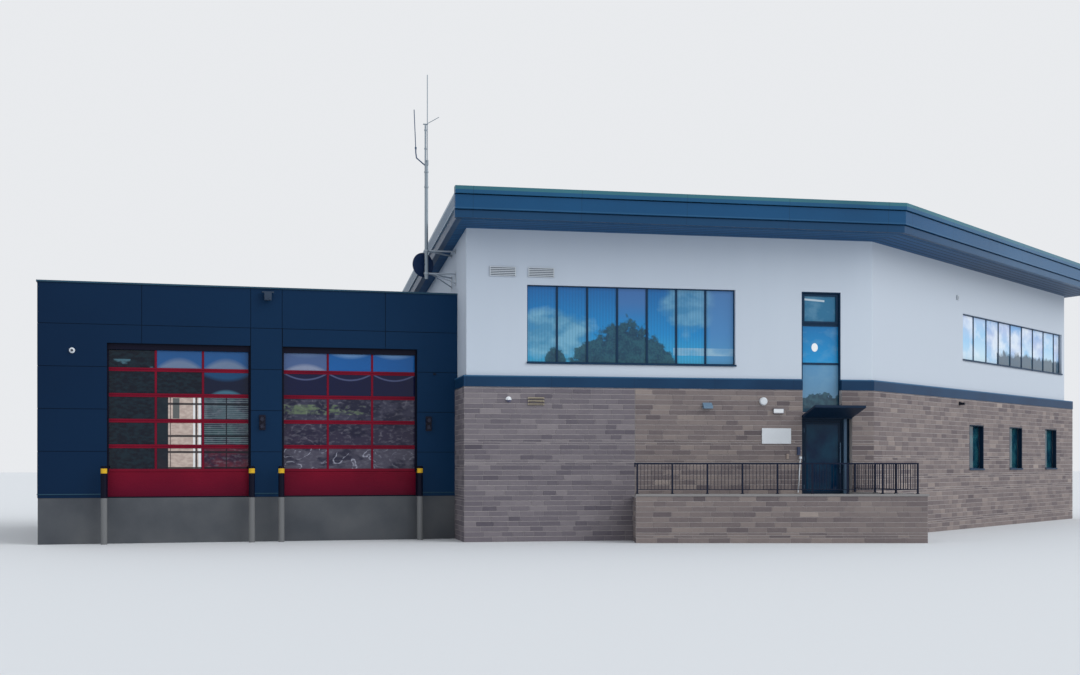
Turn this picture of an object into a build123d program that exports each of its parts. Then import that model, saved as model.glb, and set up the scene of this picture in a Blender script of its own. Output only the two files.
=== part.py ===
from build123d import *
from math import cos, sin, tan, radians
import os

# Fire station: a two-storey office bar bent round a corner, with a two-bay engine hall beside it.
# Millimetres. X runs along the office front, Y runs back into the building, Z is up.
# The origin is the office's front left corner, at the level of the lowest ground.

# Levels, above the floor unless said otherwise
FLOOR = 1250.0  # finished floor above the lowest ground
BAND_BOTTOM = 3080.0
BAND_TOP = 3395.0
WALL_TOP = 7485.0  # where the front wall meets the soffit
SKY = 12000.0  # above every roof, for cuts
PAST = 3000.0  # how far runs and cuts that are trimmed later go past their ends

# Office plan
FRONT_LENGTH = 12080.0
BEND = 40.0  # degrees that the right wing turns back from the front
WING_LENGTH = 17200.0
STONE_PAST_WING = 700.0  # the stone storey reaches this far beyond the upper one
STONE_WING_LENGTH = WING_LENGTH + STONE_PAST_WING
OFFICE_DEPTH = 14600.0
STONE_PROUD = 70.0
BAND_PROUD = 85.0
WALL_INSET = 280.0  # inner wall face behind the render face
SLAB = 200.0
UPPER_SLAB = 300.0

# Roof
ROOF_SLOPE = 3.6  # degrees, falling to the rear
EAVES_OUT = 1215.0
VERGE_OUT = 440.0
REAR_OUT = 500.0
SOFFIT = 60.0
ROOF_SKIN = 150.0
ROOF_DEPTH = 640.0  # soffit underside to roof surface
FASCIA_LOWER = 231.0
FASCIA_MAIN = 410.0
FASCIA_CAP = 203.0
FASCIA_STEP = 45.0  # each tier stands out beyond the one below
FASCIA_SHADOW = 30.0  # open joint between two tiers
FASCIA_SHADOW_DEPTH = 60.0
FASCIA_THICK = 160.0
VERGE_LOWER = 278.0
VERGE_MAIN = 414.0

# Office windows, along each face and above the floor
FRAME_DEPTH = 70.0
FRAME_BACK = 90.0  # frame behind the wall face
FRAME_BAR = 60.0
GLASS = 28.0
SEAT = 0.3
FRONT_WINDOW_X = 1719.0
FRONT_WINDOW_PANE = 876.0
FRONT_WINDOW_PANES = 7
FRONT_WINDOW_SILL = 3781.0
UPPER_HEAD = 5955.0
SIDE_WINDOW_FROM_END = 10268.0
SIDE_WINDOW_X = WING_LENGTH - SIDE_WINDOW_FROM_END
SIDE_WINDOW_PANE = 1164.0
SIDE_WINDOW_PANES = 8
SIDE_WINDOW_LAST = 653.0
SIDE_WINDOW_SILL = 4423.0
LOWER_WINDOW_FROM_END = 9890.0
LOWER_WINDOW_X = WING_LENGTH - LOWER_WINDOW_FROM_END
LOWER_WINDOW_PITCH = 3740.0
LOWER_WINDOWS = 3
LOWER_WINDOW_WIDTH = 1280.0
LOWER_WINDOW_SILL = 755.0
LOWER_WINDOW_HEAD = 2240.0
STAIR_WINDOW_FROM_BEND = 2200.0
STAIR_WINDOW_X = FRONT_LENGTH - STAIR_WINDOW_FROM_BEND
STAIR_WINDOW_WIDTH = 1210.0
STAIR_WINDOW_SILL = 2430.0
STAIR_TOP_LIGHT = 4990.0
STAIR_TRANSOM = 3862.0
SASH_BAR = 50.0  # opening light in the top of the stair window
SASH_PROUD = 12.0

# Entrance
ENTRANCE_FROM_BEND = 2221.0
ENTRANCE_X = FRONT_LENGTH - ENTRANCE_FROM_BEND
ENTRANCE_WIDTH = 1559.0
ENTRANCE_HEAD = 2255.0
ENTRANCE_BACK = 200.0  # frame face behind the render face
ENTRANCE_JAMB = 140.0
ENTRANCE_HEAD_BAR = 90.0
ENTRANCE_DEPTH = 70.0
SIDE_POST = 85.0
SIDE_POST_GAP = 110.0
HINGE_RADIUS = 7.7
HINGE_LENGTH = 120.0
HINGE_HEIGHTS = (250.0, 1080.0, 1910.0)  # middle of each hinge above the floor
DOOR_GAP = HINGE_RADIUS + SEAT
DOOR_STILE = 75.0
DOOR_RAIL = 120.0
DOOR_THICK = 50.0
HANDLE_LOW = 650.0
HANDLE_RADIUS = 14.0
HANDLE_LENGTH = 900.0
HANDLE_OUT = 60.0
HANDLE_STEM = 10.0  # radius of its two fixings
HANDLE_INSET = 150.0  # fixings from its ends
CANOPY_OUT = 970.0
CANOPY_RISE = 262.0
CANOPY_THICK = 70.0
CANOPY_BASE = 2270.0

# Terrace
TERRACE_FROM_BEND = 7585.0
TERRACE_X = FRONT_LENGTH - TERRACE_FROM_BEND
TERRACE_Y = -1403.0
TERRACE_TURN = -11.26  # degrees, the front edge against the office front
TERRACE_LENGTH = 8010.0
RETURN_FROM_BEND = 430.0
TERRACE_RETURN_X = FRONT_LENGTH - RETURN_FROM_BEND  # where the return meets the wall
TERRACE_WALL = 300.0
COPING_TOP = 97.0
COPING = 60.0
COPING_OVER = 25.0
RAIL_TOP = 955.0
RAIL_TUBE = 40.0
RAIL_POST = 45.0
RAIL_BAYS = 8
RAIL_RETURN_BAYS = 3
RAIL_LOW = 120.0
BALUSTER = 12.0
BALUSTER_PITCH = 105.0
RAIL_HOOK = 110.0  # the hand rail turns down this far at its free end

# Engine hall
HALL_SETBACK = 1833.0
HALL_TURN = 4.07  # degrees, the hall front against the office front
HALL_SHORT = 2200.0  # the hall is this much shallower than the office
HALL_DEPTH = OFFICE_DEPTH - HALL_SHORT
HALL_HEIGHT = 5883.0
HALL_WALL = 300.0
HALL_ROOF = 250.0
HALL_UPSTAND = 350.0
CAP_THICK = 45.0
CAP_OVER = 40.0
DRIP_TOP = 112.0
DRIP_OUT = 25.0
LEFT_PIER = 1780.0
MIDDLE_PIER = 895.0
RIGHT_PIER = 1185.0
DOOR_WIDTH = 3830.0
DOOR_X = (LEFT_PIER, LEFT_PIER + DOOR_WIDTH + MIDDLE_PIER)
HALL_WIDTH = DOOR_X[1] + DOOR_WIDTH + RIGHT_PIER
DOOR_HEIGHT = 4230.0
DOOR_SECTIONS = 6
DOOR_COLUMNS = 3
DOOR_JAMB = 95.0
DOOR_HEAD = 70.0
DOOR_BACK = 120.0  # door frame behind the cladding face
DOOR_FRAME_DEPTH = 130.0
PANEL_BACK = 40.0  # door leaf behind its frame's face
PANEL_DEPTH = 45.0
PANEL_RAIL = 65.0  # each section's top and bottom rail
PANEL_STILE = 85.0
PANE_BACK = 14.0  # pane behind the leaf's face
SECTION_GROOVE = 8.0
BOTTOM_PANEL = 790.0

# Small things on the fronts
VENT_X = (654.0, 1750.0)
VENT_WIDTH = 742.0
VENT_Z = 6170.0
VENT_HEIGHT = 266.0
VENT_OUT = 35.0
VENT_BLADES = 4
VENT_RIM = 22.0
VENT_BACK = 8.0
BOLLARD_LEFT = 65.0  # axis outside a door's left edge
BOLLARD_RIGHT = 20.0  # axis outside a door's right edge
BOLLARD_OUT = 340.0
BOLLARD_RADIUS = 84.0
BOLLARD_HEIGHT = 867.0
BOLLARD_BEVEL = 22.0
SIGNAL_RIGHT = 330.0  # axis outside a door's right edge
SIGNAL_Z = 2086.0
SIGNAL_WIDTH = 170.0
SIGNAL_HEIGHT = 420.0
SIGNAL_OUT = 45.0
SIGNAL_PITCH = 203.0  # between its two lamps
SIGNAL_HOOD = 76.0
SIGNAL_HOOD_OUT = 115.0
SIGNAL_LENS = 64.0
SIGNAL_LENS_OUT = 60.0
FLOOD_RIGHT = 473.0  # axis outside the left door
FLOOD_Z = 5500.0
FLOOD_WIDTH = 200.0
FLOOD_HEIGHT = 210.0
FLOOD_OUT = 200.0
FLOOD_BACK = 90.0
FLOOD_WINGS = 330.0
FLOOD_WING = 36.0
FLOOD_LENS = 34.0
FLOOD_LENS_IN = 44.0  # lens axis from the body's side and foot
FLOOD_LENS_OUT = 18.0
DOME_LIGHT_X = 1175.0
DOME_LIGHT_Z = 2727.0
DOME_LIGHT_RADIUS = 80.0
DOME_LIGHT_OUT = 30.0
DOME_LIGHT_BALL = 62.0
BALL_BANDS = 3  # straight bands that make up a half ball
WALL_LIGHT_X = 6831.0
WALL_LIGHT_WIDTH = 270.0
WALL_LIGHT_Z = 2513.0
WALL_LIGHT_HEIGHT = 180.0
WALL_LIGHT_OUT = 150.0
WALL_LIGHT_NOSE = 60.0  # height of its front edge
BULKHEAD_FROM_BEND = 3115.0
BULKHEAD_X = FRONT_LENGTH - BULKHEAD_FROM_BEND
BULKHEAD_WIDTH = 328.0
BULKHEAD_Z = 2376.0
BULKHEAD_HEIGHT = 171.0
BULKHEAD_OUT = 70.0
BULKHEAD_ROUND = 22.0
ALARM_FROM_BEND = 3418.0
ALARM_X = FRONT_LENGTH - ALARM_FROM_BEND
ALARM_Z = 2736.0
ALARM_RADIUS = 115.0
ALARM_OUT = 90.0
ALARM_BEVEL = 24.0
INTERCOM_FROM_BEND = 2706.0
INTERCOM_X = FRONT_LENGTH - INTERCOM_FROM_BEND
INTERCOM_Z = 1065.0
INTERCOM_WIDTH = 70.0
INTERCOM_HEIGHT = 150.0
INTERCOM_OUT = 35.0
READER_FROM_BEND = 2380.0
READER_X = FRONT_LENGTH - READER_FROM_BEND
READER_Z = 1180.0
READER_WIDTH = 90.0
READER_HEIGHT = 240.0
READER_OUT = 60.0
GRAB_FROM_BEND = 2363.0
GRAB_LEAN = 71.0  # its head stands this far right of its foot
GRAB_LOW = 91.0
GRAB_HIGH = 1140.0
GRAB_FOOT = (FRONT_LENGTH - GRAB_FROM_BEND, GRAB_LOW)
GRAB_HEAD = (FRONT_LENGTH - GRAB_FROM_BEND + GRAB_LEAN, GRAB_HIGH)
GRAB_RADIUS = 17.0
GRAB_OUT = 60.0  # rail axis from the stone
GRAB_STEM = 13.0
GRAB_INSET = 55.0  # fixings from its ends
GRAB_BLOCK = 70.0
CAMERA_FROM_END = 10810.0
CAMERA_S = WING_LENGTH - CAMERA_FROM_END
CAMERA_Z = 2870.0
CAMERA_SIZE = 110.0
CAMERA_OUT = 190.0
CAMERA_BODY = 80.0
SIDE_VENT_Z = 6360.0
SIDE_VENT_SIZE = 150.0
STONE_VENT_X = 1726.0
STONE_VENT_WIDTH = 465.0
STONE_VENT_Z = 2565.0
STONE_VENT_HEIGHT = 225.0
DOME_X = 879.0
DOME_Z = 4000.0
DOME_RADIUS = 75.0
DOME_BASE = 40.0
DOME_BALL = 60.0
MAST_OUT = 870.0  # pole axis from the left wall
MAST_Y = 2150.0
MAST_FOOT = 6326.0
MAST_LOWER_TOP = 9727.0
MAST_UPPER_TOP = 10834.0
MAST_WHIP_TOP = 12290.0
MAST_RADIUS = 52.0
MAST_UPPER_RADIUS = 27.0
MAST_UPPER_X = -24.0  # upper tube's axis from the pole's
WHIP_RADIUS = 13.0
WHIP_X = 30.0
CLAMP_OUT = 11.0
CLAMP_HEIGHT = 42.0
POLE_CLAMPS = (6420.0, 8990.0, 9430.0)
TUBE_CLAMPS = (10110.0, 10650.0)
WHIP_CLAMP = 9640.0
WHIP_CLAMP_SIZE = 110.0
TUBE_HEAD = 140.0  # cross plate on the upper tube
TUBE_HEAD_THICK = 20.0
SPUR = (394.0, 236.0)  # how far the spur goes sideways and up
SPUR_RADIUS = 10.0
ANTENNA_ROUTE = ((-40.0, 9645.0), (-288.0, 9850.0), (-308.0, 9993.0))
ANTENNA_COLLAR = (-311.0, 10139.0)
ANTENNA_TIP = (-358.0, 11255.0)
ANTENNA_RADIUS = 19.0
ANTENNA_ROD = 13.0
ANTENNA_COLLAR_RADIUS = 28.0
DISH_Z = 6756.0
DISH_RADIUS = 355.0
DISH_TURN = 25.0  # degrees that the dish is turned to the left
DISH_BACK = 90.0  # dish behind the pole axis
DISH_SKIN = 12.0
DISH_DEEP = 90.0
DISH_HUB = 60.0
DISH_RINGS = (0.0, 0.4, 0.72, 1.0)  # parts of the radius between which its curve is drawn straight
BRACKET_REAR = 900.0  # the second arm meets the wall this far behind the first
UPPER_ARM = 7150.0
LOWER_ARM = 6490.0
BRACE_FOOT = 6210.0
ARM_RADIUS = 24.0
BRACE_RADIUS = 17.0
BRACE_IN = 190.0  # braces leave the arms this far from the pole
PLATE_WIDTH = 90.0
PLATE_THICK = 16.0
PLATE_PAST = 60.0  # plates reach this far past the arms

# Directions
ALONG = Vector(cos(radians(BEND)), sin(radians(BEND)), 0)
OUTWARD = Vector(sin(radians(BEND)), -cos(radians(BEND)), 0)
CORNER = Vector(FRONT_LENGTH, 0, 0)
HALF_BEND = radians(BEND / 2)
FALL = tan(radians(ROOF_SLOPE))
HALL_ALONG = Vector(cos(radians(HALL_TURN)), sin(radians(HALL_TURN)), 0)
HALL_OUTWARD = Vector(sin(radians(HALL_TURN)), -cos(radians(HALL_TURN)), 0)
HALL_CORNER = Vector(0, HALL_SETBACK, 0) - HALL_ALONG * HALL_WIDTH
UP = Vector(0, 0, 1)

# Faces to draw on: local x runs to the right along the face, local y is the height above the floor
FRONT = Plane(origin=(0, 0, FLOOR), x_dir=(1, 0, 0), z_dir=(0, -1, 0))
SIDE = Plane(origin=CORNER + UP * FLOOR, x_dir=ALONG, z_dir=OUTWARD)
HALL = Plane(origin=HALL_CORNER + UP * FLOOR, x_dir=HALL_ALONG, z_dir=HALL_OUTWARD)
# Cross sections: local x runs inward from the wall face
FRONT_SECTION = Plane(origin=(0, 0, FLOOR), x_dir=(0, 1, 0), z_dir=(1, 0, 0))
SIDE_SECTION = Plane(origin=CORNER + UP * FLOOR, x_dir=OUTWARD * -1, z_dir=ALONG)
MITRE = Plane(origin=CORNER, z_dir=(cos(HALF_BEND), sin(HALF_BEND), 0))
HALL_PLAN = Plane(origin=HALL_CORNER, x_dir=HALL_ALONG, z_dir=(0, 0, 1))
PARTY = Plane(origin=(0, 0, 0), z_dir=(1, 0, 0))


def office_corners(out, length=WING_LENGTH):
    """Corners of the office plan with every side moved outward, from the front left one round."""
    mitre = (OFFICE_DEPTH + out) * tan(HALF_BEND)
    end = CORNER + ALONG * (length + out)
    end_front = end + OUTWARD * out
    end_rear = end - OUTWARD * (OFFICE_DEPTH + out)
    return [
        (-out, -out),
        (FRONT_LENGTH + out * tan(HALF_BEND), -out),
        (end_front.X, end_front.Y),
        (end_rear.X, end_rear.Y),
        (FRONT_LENGTH - mitre, OFFICE_DEPTH + out),
        (-out, OFFICE_DEPTH + out),
    ]


def prism(points, bottom, top, plane=Plane.XY, mode=Mode.ADD):
    """A plan outline raised between two heights above the lowest ground."""
    with BuildSketch(plane.offset(bottom)) as outline:
        with BuildLine():
            Polyline(*points, close=True)
        make_face()
    extrude(outline.sketch, amount=top - bottom, mode=mode)


def block(plane, x, width, low, high, front, back, mode=Mode.ADD):
    """A box on a face: from x along it, between two heights, front and back measured inward."""
    with BuildSketch(plane.offset(-back)) as outline:
        with Locations((x + width / 2, (low + high) / 2)):
            Rectangle(width, high - low)
    extrude(outline.sketch, amount=back - front, mode=mode)


def wall(outer, inner, sides, bottom, top):
    """Wall strips between an outer and an inner plan outline, one for each numbered side."""
    for side in sides:
        after = (side + 1) % len(outer)
        prism([outer[side], outer[after], inner[after], inner[side]], bottom, top)


def roof_run(profile, section, start, end, keep):
    """A roof profile carried along one wing and mitred at the bend."""
    with BuildPart() as run:
        with BuildSketch(section.offset(start)) as outline:
            with BuildLine():
                Polyline(*profile, close=True)
            make_face()
        extrude(outline.sketch, amount=end - start)
        split(bisect_by=MITRE, keep=keep)
    return run.part


def both_wings(profile, past_end):
    """The same roof profile along the front and along the right wing."""
    reach = OFFICE_DEPTH * tan(HALF_BEND) + PAST
    front = roof_run(profile, FRONT_SECTION, -past_end, FRONT_LENGTH + reach, Keep.BOTTOM)
    side = roof_run(profile, SIDE_SECTION, -reach, WING_LENGTH + past_end, Keep.TOP)
    return front, side


def under_roof(inward):
    """Height of the soffit's underside at a distance inward from the front wall face."""
    return WALL_TOP - inward * FALL


def sloping_layer(outer_in, inner_in, low, high):
    """A layer of the roof between two distances inward, low and high above the soffit."""
    return [
        (outer_in, under_roof(outer_in) + low),
        (inner_in, under_roof(inner_in) + low),
        (inner_in, under_roof(inner_in) + high),
        (outer_in, under_roof(outer_in) + high),
    ]


def window_frame(plane, x, sill, head, widths, transoms=()):
    """A window frame with a mullion between each two panes and any transoms."""
    width = sum(widths)
    block(plane, x, width, sill, head, FRAME_BACK, FRAME_BACK + FRAME_DEPTH)
    heights = [sill, *transoms, head]
    left = x
    for pane in widths:
        for low, high in zip(heights, heights[1:]):
            block(
                plane,
                left + FRAME_BAR / 2,
                pane - FRAME_BAR,
                low + FRAME_BAR / 2,
                high - FRAME_BAR / 2,
                FRAME_BACK,
                FRAME_BACK + FRAME_DEPTH,
                Mode.SUBTRACT,
            )
        left += pane


def window_glass(plane, x, sill, head, widths, transoms=()):
    """The panes that fill a window frame, each seated between its bars."""
    middle = FRAME_BACK + FRAME_DEPTH / 2
    heights = [sill, *transoms, head]
    left = x
    for pane in widths:
        for low, high in zip(heights, heights[1:]):
            block(
                plane,
                left + FRAME_BAR / 2 + SEAT,
                pane - FRAME_BAR - 2 * SEAT,
                low + FRAME_BAR / 2 + SEAT,
                high - FRAME_BAR / 2 - SEAT,
                middle - GLASS / 2,
                middle + GLASS / 2,
            )
        left += pane


stone_outer = office_corners(STONE_PROUD, STONE_WING_LENGTH)
stone_inner = office_corners(-WALL_INSET, STONE_WING_LENGTH)
band_outer = office_corners(BAND_PROUD, STONE_WING_LENGTH)
upper_outer = office_corners(0)
upper_inner = office_corners(-WALL_INSET)

front_panes = [FRONT_WINDOW_PANE] * FRONT_WINDOW_PANES
side_panes = [SIDE_WINDOW_PANE] * SIDE_WINDOW_PANES + [SIDE_WINDOW_LAST]
lower_window_starts = [LOWER_WINDOW_X + n * LOWER_WINDOW_PITCH for n in range(LOWER_WINDOWS)]
entrance_end = ENTRANCE_X + ENTRANCE_WIDTH

# Ground storey, coursed stone down to the lowest ground
with BuildPart() as stone_front_wall:
    prism(
        [stone_outer[0], (ENTRANCE_X, -STONE_PROUD), (ENTRANCE_X, WALL_INSET), stone_inner[0]],
        0,
        FLOOR + BAND_BOTTOM,
    )
stone_front_wall.part.label = "stone_front_wall"

with BuildPart() as stone_entrance_pier:
    prism(
        [(entrance_end, -STONE_PROUD), stone_outer[1], stone_inner[1], (entrance_end, WALL_INSET)],
        0,
        FLOOR + BAND_BOTTOM,
    )
stone_entrance_pier.part.label = "stone_entrance_pier"

with BuildPart() as stone_entrance_lintel:
    block(FRONT, ENTRANCE_X, ENTRANCE_WIDTH, ENTRANCE_HEAD, BAND_BOTTOM, -STONE_PROUD, WALL_INSET)
    block(
        FRONT,
        STAIR_WINDOW_X,
        STAIR_WINDOW_WIDTH,
        STAIR_WINDOW_SILL,
        BAND_BOTTOM,
        -STONE_PROUD,
        WALL_INSET,
        Mode.SUBTRACT,
    )
stone_entrance_lintel.part.label = "stone_entrance_lintel"

with BuildPart() as entrance_step:
    block(FRONT, ENTRANCE_X, ENTRANCE_WIDTH, -FLOOR, 0, -STONE_PROUD, WALL_INSET)
entrance_step.part.label = "entrance_step"

with BuildPart() as stone_side_wall:
    wall(stone_outer, stone_inner, [1], 0, FLOOR + BAND_BOTTOM)
    for start in lower_window_starts:
        block(
            SIDE,
            start,
            LOWER_WINDOW_WIDTH,
            LOWER_WINDOW_SILL,
            LOWER_WINDOW_HEAD,
            -STONE_PROUD,
            WALL_INSET,
            Mode.SUBTRACT,
        )
stone_side_wall.part.label = "stone_side_wall"

with BuildPart() as stone_rear_walls:
    wall(stone_outer, stone_inner, [2, 3, 4], 0, FLOOR + BAND_BOTTOM)
stone_rear_walls.part.label = "stone_rear_walls"

with BuildPart() as stone_left_wall:
    wall(stone_outer, stone_inner, [5], 0, FLOOR + BAND_BOTTOM)
stone_left_wall.part.label = "stone_left_wall"

# The string course is a ring on the stone walls, open at the tall stair window
with BuildPart() as string_band:
    wall(band_outer, stone_inner, range(6), FLOOR + BAND_BOTTOM, FLOOR + BAND_TOP)
    block(
        FRONT,
        STAIR_WINDOW_X,
        STAIR_WINDOW_WIDTH,
        BAND_BOTTOM,
        BAND_TOP,
        -BAND_PROUD,
        WALL_INSET,
        Mode.SUBTRACT,
    )
string_band.part.label = "string_band"

# Floors
with BuildPart() as ground_floor:
    prism(stone_inner, FLOOR - SLAB, FLOOR)
ground_floor.part.label = "ground_floor"

with BuildPart() as first_floor:
    prism(stone_inner, FLOOR + BAND_TOP - UPPER_SLAB, FLOOR + BAND_TOP)
first_floor.part.label = "first_floor"

# Upper storey, rendered walls cut to the slope of the roof
above_soffit = both_wings(sloping_layer(-PAST, OFFICE_DEPTH + PAST, 0, SKY), PAST)


def upper_wall(sides):
    """Rendered walls on the numbered sides, up to the soffit."""
    wall(upper_outer, upper_inner, sides, FLOOR + BAND_TOP, FLOOR + WALL_TOP + PAST)
    for wing in above_soffit:
        add(wing, mode=Mode.SUBTRACT)


with BuildPart() as render_front_wall:
    upper_wall([0])
    block(
        FRONT,
        FRONT_WINDOW_X,
        sum(front_panes),
        FRONT_WINDOW_SILL,
        UPPER_HEAD,
        0,
        WALL_INSET,
        Mode.SUBTRACT,
    )
    block(
        FRONT,
        STAIR_WINDOW_X,
        STAIR_WINDOW_WIDTH,
        BAND_TOP,
        UPPER_HEAD,
        0,
        WALL_INSET,
        Mode.SUBTRACT,
    )
render_front_wall.part.label = "render_front_wall"

with BuildPart() as render_side_wall:
    upper_wall([1])
    block(
        SIDE,
        SIDE_WINDOW_X,
        sum(side_panes),
        SIDE_WINDOW_SILL,
        UPPER_HEAD,
        0,
        WALL_INSET,
        Mode.SUBTRACT,
    )
render_side_wall.part.label = "render_side_wall"

with BuildPart() as render_rear_walls:
    upper_wall([2, 3, 4])
render_rear_walls.part.label = "render_rear_walls"

with BuildPart() as render_left_wall:
    upper_wall([5])
render_left_wall.part.label = "render_left_wall"

# Roof: a thin skin over a boarded soffit, the gap closed all round by stepped fascias
inner_face = EAVES_OUT - FASCIA_THICK
verge_inner = VERGE_OUT - FASCIA_THICK
rear_inner = OFFICE_DEPTH + REAR_OUT - FASCIA_THICK

soffit_front, soffit_side = both_wings(sloping_layer(-inner_face, rear_inner, 0, SOFFIT), verge_inner)
with BuildPart() as roof_soffit:
    add(soffit_front)
    add(soffit_side)
roof_soffit.part.label = "roof_soffit"

skin_front, skin_side = both_wings(
    sloping_layer(-inner_face, rear_inner, ROOF_DEPTH - ROOF_SKIN, ROOF_DEPTH),
    verge_inner,
)
with BuildPart() as roof_deck:
    add(skin_front)
    add(skin_side)
roof_deck.part.label = "roof_deck"

# Front fascia in three tiers, each standing out beyond the one below over an open joint
eaves_foot = under_roof(-EAVES_OUT)
tier_1 = eaves_foot + FASCIA_LOWER
tier_2 = tier_1 + FASCIA_MAIN
tier_3 = tier_2 + FASCIA_CAP
lower_face = -EAVES_OUT
main_face = -EAVES_OUT - FASCIA_STEP
cap_face = -EAVES_OUT - 2 * FASCIA_STEP
joint_face = -EAVES_OUT + FASCIA_SHADOW_DEPTH
front_profile = [
    (-inner_face, eaves_foot),
    (lower_face, eaves_foot),
    (lower_face, tier_1 - FASCIA_SHADOW),
    (joint_face, tier_1 - FASCIA_SHADOW),
    (joint_face, tier_1),
    (main_face, tier_1),
    (main_face, tier_2 - FASCIA_SHADOW),
    (joint_face, tier_2 - FASCIA_SHADOW),
    (joint_face, tier_2),
    (cap_face, tier_2),
    (cap_face, tier_3),
    (-inner_face, tier_3),
]
fascia_front, fascia_side = both_wings(front_profile, VERGE_OUT + FASCIA_STEP)
with BuildPart() as front_fascia:
    add(fascia_front)
    add(fascia_side)
front_fascia.part.label = "front_fascia"

# Verges and rear fascia in two tiers that follow the slope of the roof
verge_top = VERGE_LOWER + VERGE_MAIN
verge_low_front, verge_low_side = both_wings(
    sloping_layer(-inner_face, OFFICE_DEPTH + REAR_OUT, 0, VERGE_LOWER),
    VERGE_OUT,
)
verge_main_front, verge_main_side = both_wings(
    sloping_layer(-inner_face, OFFICE_DEPTH + REAR_OUT + FASCIA_STEP, VERGE_LOWER, verge_top),
    VERGE_OUT + FASCIA_STEP,
)
hollow_front, hollow_side = both_wings(
    sloping_layer(-inner_face, rear_inner, -PAST, PAST),
    verge_inner,
)
with BuildPart() as verge_fascia:
    add(verge_low_front)
    add(verge_low_side)
    add(verge_main_front)
    add(verge_main_side)
    add(hollow_front, mode=Mode.SUBTRACT)
    add(hollow_side, mode=Mode.SUBTRACT)
verge_fascia.part.label = "verge_fascia"

# Windows
with BuildPart() as upper_window_frames:
    window_frame(FRONT, FRONT_WINDOW_X, FRONT_WINDOW_SILL, UPPER_HEAD, front_panes)
    window_frame(SIDE, SIDE_WINDOW_X, SIDE_WINDOW_SILL, UPPER_HEAD, side_panes)
upper_window_frames.part.label = "upper_window_frames"

with BuildPart() as upper_window_glass:
    window_glass(FRONT, FRONT_WINDOW_X, FRONT_WINDOW_SILL, UPPER_HEAD, front_panes)
    window_glass(SIDE, SIDE_WINDOW_X, SIDE_WINDOW_SILL, UPPER_HEAD, side_panes)
upper_window_glass.part.label = "upper_window_glass"

with BuildPart() as lower_window_frames:
    for start in lower_window_starts:
        window_frame(SIDE, start, LOWER_WINDOW_SILL, LOWER_WINDOW_HEAD, [LOWER_WINDOW_WIDTH])
lower_window_frames.part.label = "lower_window_frames"

with BuildPart() as lower_window_glass:
    for start in lower_window_starts:
        window_glass(SIDE, start, LOWER_WINDOW_SILL, LOWER_WINDOW_HEAD, [LOWER_WINDOW_WIDTH])
lower_window_glass.part.label = "lower_window_glass"

stair_bars = (STAIR_TRANSOM, STAIR_TOP_LIGHT)
with BuildPart() as stair_window_frame:
    window_frame(
        FRONT,
        STAIR_WINDOW_X,
        STAIR_WINDOW_SILL,
        UPPER_HEAD,
        [STAIR_WINDOW_WIDTH],
        stair_bars,
    )
    block(
        FRONT,
        STAIR_WINDOW_X + FRAME_BAR / 2,
        STAIR_WINDOW_WIDTH - FRAME_BAR,
        STAIR_TOP_LIGHT + FRAME_BAR / 2,
        UPPER_HEAD - FRAME_BAR / 2,
        FRAME_BACK - SASH_PROUD,
        FRAME_BACK + FRAME_DEPTH,
    )
    block(
        FRONT,
        STAIR_WINDOW_X + FRAME_BAR / 2 + SASH_BAR,
        STAIR_WINDOW_WIDTH - FRAME_BAR - 2 * SASH_BAR,
        STAIR_TOP_LIGHT + FRAME_BAR / 2 + SASH_BAR,
        UPPER_HEAD - FRAME_BAR / 2 - SASH_BAR,
        FRAME_BACK - SASH_PROUD,
        FRAME_BACK + FRAME_DEPTH,
        Mode.SUBTRACT,
    )
stair_window_frame.part.label = "stair_window_frame"

with BuildPart() as stair_window_glass:
    window_glass(
        FRONT,
        STAIR_WINDOW_X,
        STAIR_WINDOW_SILL,
        STAIR_TOP_LIGHT,
        [STAIR_WINDOW_WIDTH],
        [STAIR_TRANSOM],
    )
    window_glass(
        FRONT,
        STAIR_WINDOW_X + SASH_BAR,
        STAIR_TOP_LIGHT + SASH_BAR,
        UPPER_HEAD - SASH_BAR,
        [STAIR_WINDOW_WIDTH - 2 * SASH_BAR],
    )
stair_window_glass.part.label = "stair_window_glass"

# Entrance: a recessed frame with a light post on its right, and a glazed door hinged on its left
door_left = ENTRANCE_X + ENTRANCE_JAMB + DOOR_GAP
door_right = entrance_end - SIDE_POST_GAP - SIDE_POST - FRAME_BAR - DOOR_GAP
door_top = ENTRANCE_HEAD - ENTRANCE_HEAD_BAR - DOOR_GAP
frame_back = ENTRANCE_BACK + ENTRANCE_DEPTH - STONE_PROUD
frame_front = ENTRANCE_BACK - STONE_PROUD
with BuildPart() as entrance_frame:
    block(FRONT, ENTRANCE_X, ENTRANCE_JAMB, 0, ENTRANCE_HEAD, frame_front, frame_back)
    block(
        FRONT,
        ENTRANCE_X,
        ENTRANCE_WIDTH,
        ENTRANCE_HEAD - ENTRANCE_HEAD_BAR,
        ENTRANCE_HEAD,
        frame_front,
        frame_back,
    )
    block(
        FRONT,
        door_right + DOOR_GAP,
        entrance_end - door_right - DOOR_GAP,
        0,
        ENTRANCE_HEAD,
        frame_front,
        frame_back,
    )
entrance_frame.part.label = "entrance_frame"

with BuildPart() as entrance_post:
    block(
        FRONT,
        entrance_end - SIDE_POST_GAP - SIDE_POST,
        SIDE_POST,
        0,
        ENTRANCE_HEAD,
        frame_front - SIDE_POST,
        frame_front,
    )
entrance_post.part.label = "entrance_post"

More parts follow.
